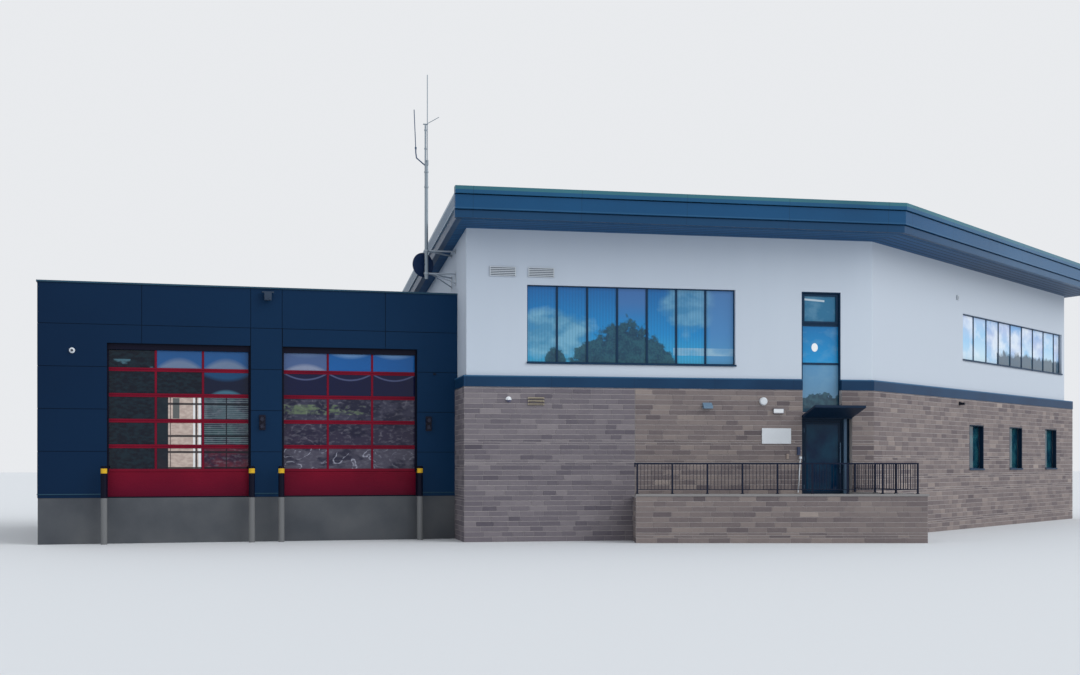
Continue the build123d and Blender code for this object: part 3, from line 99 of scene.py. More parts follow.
# Windows, along each face
FRONT_WINDOW = (1.719, 7.851, FLOOR + 3.781, FLOOR + 5.955)
FRONT_PANE = 0.876
SIDE_WINDOW = (6.932, 16.897, FLOOR + 4.423, FLOOR + 5.955)
SIDE_PANE = 1.164
STAIR_WINDOW = (9.88, 11.09, FLOOR + 2.43, FLOOR + 5.955)
STAIR_TRANSOM = FLOOR + 3.862
STAIR_TOP_LIGHT = FLOOR + 4.99
LOWER_PITCH = 3.74
LOWER_WINDOWS = [
    (7.31 + n * LOWER_PITCH, 8.59 + n * LOWER_PITCH, FLOOR + 0.755, FLOOR + 2.24) for n in range(3)
]
BLIND_SLAT = 0.089
SILL_OUT = 0.04
SILL_BACK = -0.09
SILL_END = 0.02
SILL_LIP = 0.045
SILL_SHEET = 0.006
SASH_EDGE = 0.058
SASH_BAR = 0.055
SASH_BACK = -0.12
SASH_FACE = -0.06
CASING = 0.03
CASING_BACK = -0.085
CASING_FACE = 0.004
LINER = 0.035
LINER_BACK = -0.14
LINER_FACE = 0.003

# Coursed stone
COURSE = 0.143
THIN_COURSES = 0.12  # share of the courses that are laid as two thin ones
BED_JOINT = 0.014
END_JOINT = 0.007
BLOCK_LENGTHS = (0.28, 0.62)
SHORTEST_END = BLOCK_LENGTHS[0] * 0.6  # a shorter rest joins the block before it
SMALLEST_STRIP = (0.03, 0.025)
BLOCK_FACE = 0.005  # block edges stand this far out from the mortar
SET_IN = -0.004  # blocks and panels reach this far into the wall
PITCH_EDGE = 0.01
PITCH_OUT = 0.004
ROUGHNESS_OUT = 0.002
TONE_SPREAD = 0.1
MOVEMENT_JOINT = 4.83  # along the front
MOVEMENT_GAP = 0.014

# Entrance and the fittings near it, along the front
ENTRANCE = (9.859, 11.418, FLOOR, FLOOR + 2.255)
FLASHING_LAP = 0.01
FLASHING_RISE = 0.03
FLASHING_BACK = -0.06
FLASHING_FACE = 0.012
SIGN = (8.622, 9.514, FLOOR + 1.509, FLOOR + 1.96)
SIGN_BACK = 0.012
SIGN_FACE = 0.03
STUD = 0.03
STUD_INSET = 0.06
STUD_FACE = 0.034
ENTRY_SPLIT = 9.66  # between the two units by the door
DOME_LIGHT_END = 3.0
DOME_LIGHT_LENS = FLOOR + 2.71
STRIP_LIGHT = (8.97, 9.265, FLOOR + 2.408, FLOOR + 2.515)
STONE_VENT_FOOT = FLOOR + 2.565
STONE_VENT_EDGE = 0.013
STONE_VENT_PITCH = 0.087
STONE_VENT_BLADE = 0.04
VENT_RECESS = 0.02

# Terrace
TERRACE_TURN = math.radians(-11.26)
TERRACE_LEFT = (4.495, -1.403, 0)
TERRACE_END = 11.65
PAVING_SLAB = 0.6
SAWN_JOINT = 0.012
TERRACE_LENGTH = 8.01
TERRACE_WALL = 0.3
TERRACE_TOP = FLOOR + 0.037
COPING_TOP = FLOOR + 0.097
RAIL_BAYS = (8, 3)
POST_INSET = 0.045
BASE_PLATE = 0.095
BASE_PLATE_THICK = 0.008
BOLT_RADIUS = 0.008
BOLT_HEIGHT = 0.012
BOLT_INSET = 0.015

# Engine hall
HALL_TURN = math.radians(4.07)
HALL_ALONG = Vector((math.cos(HALL_TURN), math.sin(HALL_TURN), 0))
HALL_INWARD = Vector((-HALL_ALONG.y, HALL_ALONG.x, 0))
HALL_TOP = FLOOR + 5.838
HALL_WIDTH = 11.52
HALL_SETBACK = 1.833
HALL_REAR_STEP = 1.9
HALL_CORNER = Vector((0, HALL_SETBACK, 0)) - HALL_ALONG * HALL_WIDTH
HALL_DEPTH = 12.4
DOORS = (1.78, 6.505)
DOOR_WIDTH = 3.83
DOOR_HEAD = FLOOR + 4.23
LEAF_INSET = 0.015
LEAF_TOP = FLOOR + 4.075
LEAF_GAP = 0.012
DOOR_COLUMN = (DOOR_WIDTH - 2 * LEAF_INSET) / 3
SECTION = 0.705
SECTIONS = 6
FOOT_TOP = 0.79
RAIL = 0.053
STILE = 0.06
STILE_OUT = 0.004
SECTION_GROOVE = 0.004
FRAME_FACE = -0.12
FRAME_REAR = -0.25
LEAF_FACE = -0.16
LEAF_REAR = -0.205
PANE_FACE = -0.174
PANE_REAR = -0.2
PANE_RIM = 0.05
PANE_BULGE = 0.004
RIB = 0.0581
RIBS = 12
SEAL_INSET = 0.02
SEAL_HEIGHT = 0.03
SEAL_OUT = 0.02
DRIP = FLOOR + 0.087
PANEL_LEVELS = (FLOOR, DRIP, FLOOR + 1.266, FLOOR + 2.42, FLOOR + 3.574, FLOOR + 4.728, HALL_TOP)
PANEL_JOINTS = (2.69, 5.621, 6.488, 9.413)
PANEL_PITCH = 2.93
PANEL_GAP = 0.014
PANEL_OUT = 0.012
SMALLEST_PANEL = (0.05, 0.03)
SENSOR = (10.8, 10.88, FLOOR + 3.5, FLOOR + 3.55)
SENSOR_OUT = 0.06
BOLLARD_BAND = (FLOOR + 0.67, FLOOR + 0.8)
SIGNAL_LENS = (0.056, 0.064)  # out from the hall front
CAMERA_BALL = (0.084, 0.09)

# Amounts taken off sharp edges
FINE_EDGE = 0.001
SHEET_EDGE = 0.002
FRAME_EDGE = 0.003
MOULDED_EDGE = 0.008

# Studio
FLOOR_REACH = 300
SKY_POWER = 0.95
SUN_POWER = 1.3
SUN_SPREAD = math.radians(50)
SUN_FROM = (0.85, -0.5, 0.62)
CAMERA_PLACE = (-5.49, -38.06, 2.201)
CAMERA_TURN = math.radians(-11.26)
CAMERA_SENSOR = 36
CAMERA_LENS = 46.03
CAMERA_RISE = 0.1162
CAMERA_REACH = 500


def srgb(red, green, blue):
    """A colour given as 0 to 255 on screen, as the linear colour that materials take."""
    linear = [c / 255 / 12.92 if c < 11 else ((c / 255 + 0.055) / 1.055) ** 2.4 for c in (red, green, blue)]
    return (*linear, 1.0)


def shade(colour, factor):
    """A colour made darker or lighter."""
    return tuple(min(1.0, c * factor) for c in colour[:3]) + (1.0,)


class Wire:
    """A node's output. Arithmetic on it adds the node that does the sum."""

    def __init__(self, look, socket):
        self.look = look
        self.socket = socket

    def sum_of(self, operation, *terms):
        """The result of one operation, part by part where a term has three parts."""
        wide = any(isinstance(t, Wire) and t.socket.type != "VALUE" or isinstance(t, tuple) for t in terms)
        kind = "ShaderNodeVectorMath" if wide else "ShaderNodeMath"
        if wide:
            terms = [t if isinstance(t, (Wire, tuple)) else (t, t, t) for t in terms]
        return self.look.node(kind, dict(enumerate(terms)), operation=operation)

    def __add__(self, other):
        return self.sum_of("ADD", self, other)

    __radd__ = __add__

    def __sub__(self, other):
        return self.sum_of("SUBTRACT", self, other)

    def __rsub__(self, other):
        return self.sum_of("SUBTRACT", other, self)

    def __mul__(self, other):
        return self.sum_of("MULTIPLY", self, other)

    __rmul__ = __mul__

    def __truediv__(self, other):
        return self.sum_of("DIVIDE", self, other)

    def __gt__(self, other):
        return self.sum_of("GREATER_THAN", self, other)

    def __lt__(self, other):
        return self.sum_of("LESS_THAN", self, other)

    def remainder(self, other):
        return self.sum_of("FLOORED_MODULO", self, other)

    def floor(self):
        return self.sum_of("FLOOR", self)

    def lesser(self, other):
        return self.sum_of("MINIMUM", self, other)

    def greater(self, other):
        return self.sum_of("MAXIMUM", self, other)

    def between(self, low, high):
        """1 between two values, 0 elsewhere."""
        return (self > low) * (self < high)


class Look:
    """A material and the nodes in it."""

    def __init__(self, name):
        self.material = bpy.data.materials.new(name)
        self.material.use_nodes = True
        self.tree = self.material.node_tree
        self.shader = self.tree.nodes["Principled BSDF"]
        self.place = self.node("ShaderNodeTexCoord", output="Object")
        parts = self.tree.nodes.new("ShaderNodeSeparateXYZ")
        self.tree.links.new(self.place.socket, parts.inputs[0])
        self.x, self.y, self.z = (Wire(self, s) for s in parts.outputs)

    def node(self, kind, inputs=None, output=0, **settings):
        """Adds any node, with its settings and what goes into it, and gives one of its outputs."""
        made = self.tree.nodes.new(kind)
        for key, value in settings.items():
            setattr(made, key, value)
        for key, value in (inputs or {}).items():
            if isinstance(value, Wire):
                self.tree.links.new(value.socket, made.inputs[key])
            else:
                made.inputs[key].default_value = value
        return Wire(self, made.outputs[output])

    def run(self, origin, direction):
        """Distance from a point along a level direction."""
        return (self.x - origin[0]) * direction[0] + (self.y - origin[1]) * direction[1]

    def noise(self, scale, detail=3.0, stretch=(1, 1, 1)):
        """A cloudy pattern, finer with a larger scale."""
        where = self.place * tuple(stretch)
        return self.node("ShaderNodeTexNoise", {"Vector": where, "Scale": scale, "Detail": detail})

    def chance(self, number):
        """A random value from 0 to 1 that stays the same for each whole number."""
        return self.node("ShaderNodeTexWhiteNoise", {"W": number.floor()}, noise_dimensions="1D")

    def ramp(self, value, *stops, constant=False):
        """A colour ramp through (position, colour) stops."""
        wire = self.node("ShaderNodeValToRGB", {0: value})
        made = wire.socket.node.color_ramp
        made.interpolation = "CONSTANT" if constant else "LINEAR"
        while len(made.elements) < len(stops):
            made.elements.new(0.5)
        for element, (position, colour) in zip(made.elements, stops):
            element.position = position
            element.color = colour
        return wire

    def span(self, value, low, high, to_low=0.0, to_high=1.0):
        """A value stretched from one range to another, held at both ends."""
        inputs = {"Value": value, "From Min": low, "From Max": high, "To Min": to_low, "To Max": to_high}
        return self.node("ShaderNodeMapRange", inputs)

    def wear(self, noise, low, high):
        """A roughness that follows a noise."""
        return self.span(noise, 0.3, 0.7, low, high)

    def mix(self, factor, first, second, blend="MIX"):
        """The first colour where the factor is 0, the second where it is 1."""
        inputs = {0: factor, 6: first, 7: second}
        return self.node("ShaderNodeMix", inputs, output=2, data_type="RGBA", blend_type=blend)

    def mottle(self, noise, first, second, low=0.35, high=0.65):
        """Two colours that follow a noise."""
        return self.mix(self.span(noise, low, high), first, second)

    def mound(self, across, up, middle, foot, half_width, height, broken, soft=0.22):
        """1 inside a rounded mound and 0 outside it, with an edge broken up by a noise."""
        side = (across - middle) / half_width
        rise = (up - foot) / height
        return self.span(1 - side * side - rise * rise + (broken - 0.5) * 1.6, 0.0, soft)

    def bump(self, height, strength, distance):
        """A surface raised by a height."""
        return self.node("ShaderNodeBump", {"Height": height, "Strength": strength, "Distance": distance})

    def finish(self, **inputs):
        """Feeds the shader: names of its sockets with underscores for spaces."""
        for key, value in inputs.items():
            socket = self.shader.inputs[key.replace("_", " ")]
            if isinstance(value, Wire):
                self.tree.links.new(value.socket, socket)
            else:
                socket.default_value = value
        return self.material


def plain(name, colour, roughness, metallic=0.0, grain=60.0, depth=0.0004, **more):
    """A finish of one colour with fine grain and faint uneven weathering."""
    look = Look(name)
    cloud = look.noise(0.7, 4)
    fine = look.noise(grain, 2)
    return look.finish(
        Base_Color=look.mottle(cloud * 0.7 + fine * 0.3, shade(colour, 0.9), shade(colour, 1.1)),
        Roughness=look.wear(fine, roughness - 0.06, min(1.0, roughness + 0.06)),
        Normal=look.bump(fine, 0.5, depth),
        Metallic=metallic,
        **more,
    )


def painted_metal(name, colour):
    """Coated sheet metal, kept dark where it is seen at a flat angle."""
    return plain(name, colour, 0.45, Specular_IOR_Level=0.15)


def fitting(name, colour_of, smooth, rough, relief=(0.3, 0.0003), **more):
    """A small fitting's finish with a fine grain, coloured by a function of its look."""
    look = Look(name)
    fine = look.noise(60, 2)
    return look.finish(
        Base_Color=colour_of(look),
        Roughness=look.wear(fine, smooth, rough),
        Normal=look.bump(fine, *relief),
        **more,
    )


def glazing(look, colour, ripple, rough=0.1, coat=0.2, specular=0.3):
    """Smooth coated glass in the colours that it mirrors."""
    return look.finish(
        Base_Color=colour,
        Roughness=look.wear(ripple, 0.05, rough),
        Coat_Weight=coat,
        Specular_IOR_Level=specular,
    )


def stone_look():
    """Split stone whose blocks differ in tone, with painted shade making the left end of the front cooler
    and darker.
    """
    look = Look("split_stone")
    tone = look.node("ShaderNodeAttribute", output="Fac", attribute_name="tone")
    grain = look.noise(38, 5, (1, 1, 2.2))
    patch = look.noise(9, 3)
    colour = look.ramp(
        tone * 0.7 + grain * 0.2 + patch * 0.1,
        (0.15, srgb(80, 74, 79)),
        (0.36, srgb(106, 99, 103)),
        (0.5, srgb(125, 117, 118)),
        (0.66, srgb(144, 135, 133)),
        (0.88, srgb(176, 166, 160)),
    )
    # Painted shade: a cooler, darker tint on the stones at the front's left end and the first metres of the
    # left wall, a faint warm tint elsewhere.
    shaded_end = (look.x < MOVEMENT_JOINT) * look.y.between(-0.3, 1.8)
    painted_shade_tint = look.mix(shaded_end, srgb(250, 247, 244), srgb(232, 236, 248))
    return look.finish(
        Base_Color=look.mix(1.0, colour, painted_shade_tint, "MULTIPLY"),
        Roughness=look.wear(grain, 0.78, 0.95),
        Normal=look.bump(grain * 0.7 + patch * 0.3, 0.8, 0.005),
        Specular_IOR_Level=0.2,
    )


def render_look():
    """Smooth render with faint clouds and streaks, and painted shade: darker towards the left end of the
    front, darker up under the soffit, and darker on the right wing's front.
    """
    look = Look("wall_render")
    fine = look.noise(210, 3)
    cloud = look.noise(0.35, 4, (1, 1, 0.6))
    streak = look.noise(2.2, 4, (1, 1, 0.08))
    # Painted shade: darker towards the left end of the front and up under the soffit; the clouds and
    # streaks are the render's own stains.
    across = look.span(look.x, 0.0, FRONT_LENGTH)
    down = look.span(look.z, SOFFIT_LEVEL, BAND_TOP)
    colour = look.ramp(
        across * 0.34 + down * 0.3 + cloud * 0.26 + streak * 0.1,
        (0.1, srgb(180, 191, 205)),
        (0.45, srgb(191, 202, 215)),
        (0.85, srgb(204, 214, 225)),
    )
    # Painted shade on the right wing's front.
    wing_face = (look.run(CORNER, OUTWARD) > -0.4) * (look.run(CORNER, ALONG) < WING - 0.01)
    wing = look.span(look.x, FRONT_LENGTH, FRONT_LENGTH + 0.02, 0.0, 0.85) * wing_face
    return look.finish(
        Base_Color=look.mix(wing, colour, srgb(184, 193, 204)),
        Roughness=look.wear(fine, 0.82, 0.95),
        Normal=look.bump(fine, 0.6, 0.0018),
    )


def office_inward(look):
    """Distance inward from the office's front wall or its right wing's, whichever is nearer."""
    return look.y.lesser(look.run(CORNER, -OUTWARD))


def sheet_joints(look, pitch, width):
    """1 on the joints between sheets laid along the eaves of both wings."""
    front = look.x.remainder(pitch) < width
    side = look.run(CORNER, ALONG).remainder(pitch) < width
    on_side = look.run(CORNER, ALONG) > 0
    return front * (1 - on_side) + side * on_side


def fascia_look():
    """Coated sheets in three tiers, with a painted highlight along the top edge and at the foot of the main
    tier, and painted light making them paler along the right wing.
    """
    look = Look("fascia_metal")
    fine = look.noise(70, 2, (0.2, 0.2, 1))
    cloud = look.noise(0.5, 3)
    wing = look.run(CORNER, ALONG)
    # Painted light: the sheets grow paler along the right wing.
    pale = look.span(wing, 0.0, 9.0, 0.0, 0.3)
    lower = look.mix(look.z > MAIN_TIER, srgb(22, 66, 102), srgb(20, 76, 118))
    tiers = look.mix(look.z > CAP_TIER, lower, srgb(30, 86, 124))
    # Painted highlight along the top edge of the cap.
    tiers = look.mix(look.z > CAP_EDGE, tiers, srgb(60, 114, 126))
    # Painted highlight: a thin pale line at the foot of the main tier.
    foot = look.z.between(MAIN_TIER + 0.02, MAIN_TIER + 0.05)
    tiers = look.mix(foot * 0.25, tiers, srgb(70, 116, 148))
    joints = sheet_joints(look, FASCIA_SHEET, FASCIA_JOINT)
    aged_and_painted_light = look.mix(look.span(cloud, 0.3, 0.7, 0.0, 0.25), tiers, srgb(14, 50, 82))
    aged_and_painted_light = look.mix(pale, aged_and_painted_light, srgb(104, 134, 162))
    return look.finish(
        Base_Color=look.mix(joints * 0.7, aged_and_painted_light, srgb(12, 24, 38)),
        Roughness=look.wear(fine, 0.36, 0.5),
        Normal=look.bump(fine * 0.2 - joints, 0.3, 0.0015),
        Specular_IOR_Level=0.18,
    )


def verge_look():
    """The same sheets up the verges, in painted light: pale edges to the tiers as painted highlights and a
    pale upper band as a painted reflection.
    """
    look = Look("verge_metal")
    fine = look.noise(70, 2, (1, 1, 0.3))
    level = look.z + office_inward(look) * FALL - SOFFIT_LEVEL
    # Painted light over the sheets' own blue: a pale highlight line and a pale painted reflection on the
    # upper band.
    tiers = look.ramp(
        level,
        (0.0, srgb(30, 64, 96)),
        (0.27, srgb(132, 154, 172)),
        (0.31, srgb(66, 98, 126)),
        (0.62, srgb(150, 168, 182)),
        constant=True,
    )
    return look.finish(
        Base_Color=look.mix(look.span(look.noise(0.5, 3), 0.3, 0.7, 0.0, 0.2), tiers, srgb(60, 88, 114)),
        Roughness=look.wear(fine, 0.36, 0.5),
        Normal=look.bump(fine, 0.3, 0.0006),
        Specular_IOR_Level=0.3,
    )


def soffit_look():
    """Narrow boards laid along the eaves, with painted light making them paler and greyer along the right
    wing.
    """
    look = Look("soffit_boards")
    fine = look.noise(60, 2)
    gap = office_inward(look).remainder(SOFFIT_BOARD) < SOFFIT_GAP
    board = look.chance(office_inward(look) / SOFFIT_BOARD)
    body = look.mix(board, srgb(34, 84, 128), srgb(42, 94, 138))
    # Painted light: paler and greyer along the right wing.
    body = look.mix(look.span(look.run(CORNER, ALONG), 0.0, 8.0, 0.0, 0.6), body, srgb(88, 98, 112))
    return look.finish(
        Base_Color=look.mix(gap, body, srgb(12, 20, 30)),
        Roughness=look.wear(fine, 0.5, 0.65),
        Normal=look.bump(fine * 0.1 - gap, 0.6, 0.004),
        Specular_IOR_Level=0.12,
    )


def band_look():
    """Folded sheet over the stone: a painted highlight along the top edge, and butt joints."""
    look = Look("band_metal")
    fine = look.noise(60, 2)
    # Painted highlight along the top edge.
    edge = look.z > BAND_TOP - BAND_EDGE
    joints = sheet_joints(look, BAND_SHEET, BAND_JOINT)
    body = look.mottle(look.noise(0.6, 3), srgb(12, 48, 80), srgb(18, 58, 92))
    return look.finish(
        Base_Color=look.mix(joints * 0.8, look.mix(edge, body, srgb(48, 94, 130)), srgb(10, 20, 32)),
        Roughness=look.wear(fine, 0.4, 0.52),
        Normal=look.bump(fine * 0.2 - joints, 0.3, 0.0015),
        Specular_IOR_Level=0.18,
    )


def cladding_look():
    """Coated panels with a painted reflection that makes them a little lighter towards the office."""
    look = Look("cladding_panel")
    fine = look.noise(90, 2)
    cloud = look.noise(0.35, 3)
    along = look.span(look.run(HALL_CORNER, HALL_ALONG), 0.0, 11.5)
    # Painted reflection: lighter towards the office; the cloud is random tone.
    body = look.mix(along * 0.75 + cloud * 0.25, srgb(3, 30, 58), srgb(12, 50, 84))
    return look.finish(
        Base_Color=body,
        Roughness=look.wear(fine, 0.45, 0.58),
        Normal=look.bump(fine, 0.4, 0.0004),
        Specular_IOR_Level=0.1,
    )


def hall_base_look():
    """Concrete below the floor, and above it painted shade: the wall behind the cladding's open joints is
    coloured dark as the shadow in them.
    """
    look = Look("hall_base")
    fine = look.noise(26, 5)
    concrete = look.mottle(look.noise(0.6, 4), srgb(74, 78, 84), srgb(92, 95, 99))
    # Painted shade behind the cladding's joints.
    above = look.z > FLOOR - 0.001
    return look.finish(
        Base_Color=look.mix(above, concrete, srgb(4, 16, 32)),
        Roughness=look.wear(fine, 0.7, 0.9),
        Normal=look.bump(fine, 0.5, 0.002),
        Specular_IOR_Level=0.15,
    )


def red_door_look():
    """Red paint, deeper on the foot panels."""
    look = Look("door_red")
    fine = look.noise(70, 2)
    body = look.mottle(look.noise(0.8, 3), srgb(104, 4, 34), srgb(120, 8, 38))
    body = look.mix(look.span(look.z, FLOOR + SECTION, FLOOR), body, srgb(92, 2, 36))
    return look.finish(
        Base_Color=body,
        Roughness=look.wear(fine, 0.42, 0.54),
        Normal=look.bump(fine, 0.3, 0.0004),
        Specular_IOR_Level=0.12,
    )


def front_panes(look):
    """Sky, clouds and a tree mirrored in the long front window, with slatted blinds behind."""
    across = (look.x - FRONT_WINDOW[0]) / FRONT_PANE
    up = (look.z - FRONT_WINDOW[2]) / (FRONT_WINDOW[3] - FRONT_WINDOW[2])
    puff = look.noise(1.5, 4, (1, 1, 1.6))
    leaves = look.noise(5.0, 5)
    twigs = look.noise(17.0, 4)
    sky = look.ramp(up, (0.0, srgb(58, 168, 210)), (0.4, srgb(20, 136, 200)), (1.0, srgb(12, 100, 166)))
    shaded = look.mottle(puff, srgb(80, 144, 176), srgb(126, 180, 202), 0.4, 0.6)
    clouded = look.mix(look.mound(across, up, 0.9, 0.38, 1.5, 0.36, puff, 0.6) * 0.8, sky, shaded)
    clouded = look.mix(look.mound(across, up, 5.4, 0.85, 1.0, 0.5, puff, 0.6) * 0.6, clouded, shaded)
    clouded = look.mix(look.span(across, 5.9, 6.2, 0.0, 0.6), clouded, srgb(92, 134, 182))
    grey = across.between(3.0, 4.0) * look.span(up, 0.5, 0.8, 0.0, 0.5)
    clouded = look.mix(grey, clouded, srgb(84, 116, 168))
    strip = up.between(0.12, 0.22) * (across > 4.9)
    clouded = look.mix(strip * look.span(puff, 0.4, 0.6, 0.3, 0.8), clouded, srgb(152, 190, 210))
    growth = look.mound(across, up, 3.3, 0.0, 1.35, 0.58, leaves)
    for middle, half_width, height in ((0.95, 0.35, 0.2), (2.6, 1.15, 0.34), (4.2, 0.75, 0.32)):
        growth = growth.greater(look.mound(across, up, middle, 0.0, half_width, height, leaves))
    green = look.mottle(leaves * 0.5 + twigs * 0.5, srgb(6, 38, 56), srgb(34, 78, 86), 0.4, 0.6)
    scene = look.mix(growth * 0.9, clouded, green)
    slats = look.x.remainder(BLIND_SLAT).between(0.0, BLIND_SLAT * 0.45)
    open_pane = across.between(3.0, 4.0).greater(across > 6.1)
    return look.mix(slats * (1 - open_pane) * 0.16, scene, srgb(20, 70, 108))


def side_panes(look):
    """Bright sky and cloud mirrored in the right wing's window, dark towards its foot further on."""
    pane = (look.run(CORNER, ALONG) - SIDE_WINDOW[0]) / SIDE_PANE
    up = (look.z - SIDE_WINDOW[2]) / (SIDE_WINDOW[3] - SIDE_WINDOW[2])
    puff = look.noise(1.1, 4, (1, 1, 1.5))
    pick = look.chance(pane + 11)
    sky = look.ramp(
        up * 0.55 + pick * 0.45,
        (0.1, srgb(196, 226, 240)),
        (0.4, srgb(150, 200, 236)),
        (0.7, srgb(172, 190, 226)),
        (0.95, srgb(104, 166, 222)),
    )
    clouded = look.mix(look.span(puff, 0.45, 0.66, 0.0, 0.8), sky, srgb(226, 236, 244))
    foot = look.span(up + (look.noise(2.5, 4) - 0.5) * 0.4, 0.34, 0.26) * (pane > 2.9)
    return look.mix(foot * 0.9, clouded, srgb(24, 62, 84))


def window_look():
    """Glass of both long windows."""
    look = Look("window_glass")
    colour = look.mix(look.x > FRONT_LENGTH, front_panes(look), side_panes(look))
    return glazing(look, colour, look.noise(0.8, 3))


def lower_window_look():
    """Dark glass of the three small windows."""
    look = Look("lower_window_glass")
    cloud = look.noise(2.4, 4)
    return glazing(look, look.mottle(cloud, srgb(6, 46, 66), srgb(30, 80, 92), 0.4, 0.62), cloud)


def stair_look():
    """Three lights in a painted reflection: cloud over a streak of light, deep blue, and paler blue over
    dark shrubs.
    """
    look = Look("stair_glass")
    puff = look.noise(2.0, 4, (1, 1, 1.5))
    leaves = look.noise(7.0, 5)
    across = (look.x - STAIR_WINDOW[0]) / (STAIR_WINDOW[1] - STAIR_WINDOW[0])
    sky = look.ramp(
        look.span(look.z, STAIR_WINDOW[2], STAIR_WINDOW[3]),
        (0.0, srgb(114, 156, 186)),
        (0.4, srgb(88, 146, 188)),
        (0.407, srgb(28, 150, 212)),
        (0.72, srgb(18, 116, 176)),
        (0.727, srgb(40, 112, 150)),
    )
    clouded = look.mix(look.span(puff, 0.5, 0.72, 0.0, 0.35), sky, srgb(126, 172, 196))
    streak_height = (look.z - STAIR_WINDOW[3] + 0.2 + across * 0.08) / 0.035
    streak = look.span(streak_height * streak_height, 1.0, 0.2) * across.between(0.0, 0.62)
    clouded = look.mix(streak * 0.8, clouded, srgb(206, 222, 230))
    # A painted glint in the middle light.
    glint_side = (across - 0.37) / 0.085
    glint_rise = (look.z - STAIR_TRANSOM - 0.48) / 0.13
    glint = look.span(glint_side * glint_side + glint_rise * glint_rise, 1.0, 0.8)
    clouded = look.mix(glint, clouded, srgb(250, 252, 252))
    shrubs = look.mound(across, look.z - STAIR_WINDOW[2], 0.55, 0.0, 0.8, 0.6, leaves, 0.12)
    green = look.mottle(leaves, srgb(12, 44, 58), srgb(44, 82, 92), 0.4, 0.6)
    return glazing(look, look.mix(shrubs * 0.85, clouded, green), puff)


def entrance_glass_look():
    """Deep blue-green glass of the entrance door."""
    look = Look("entrance_glass")
    cloud = look.noise(2.0, 4)
    colour = look.mottle(cloud, srgb(0, 32, 62), srgb(10, 58, 82), 0.35, 0.7)
    return glazing(look, colour, cloud, coat=0.08, specular=0.15)


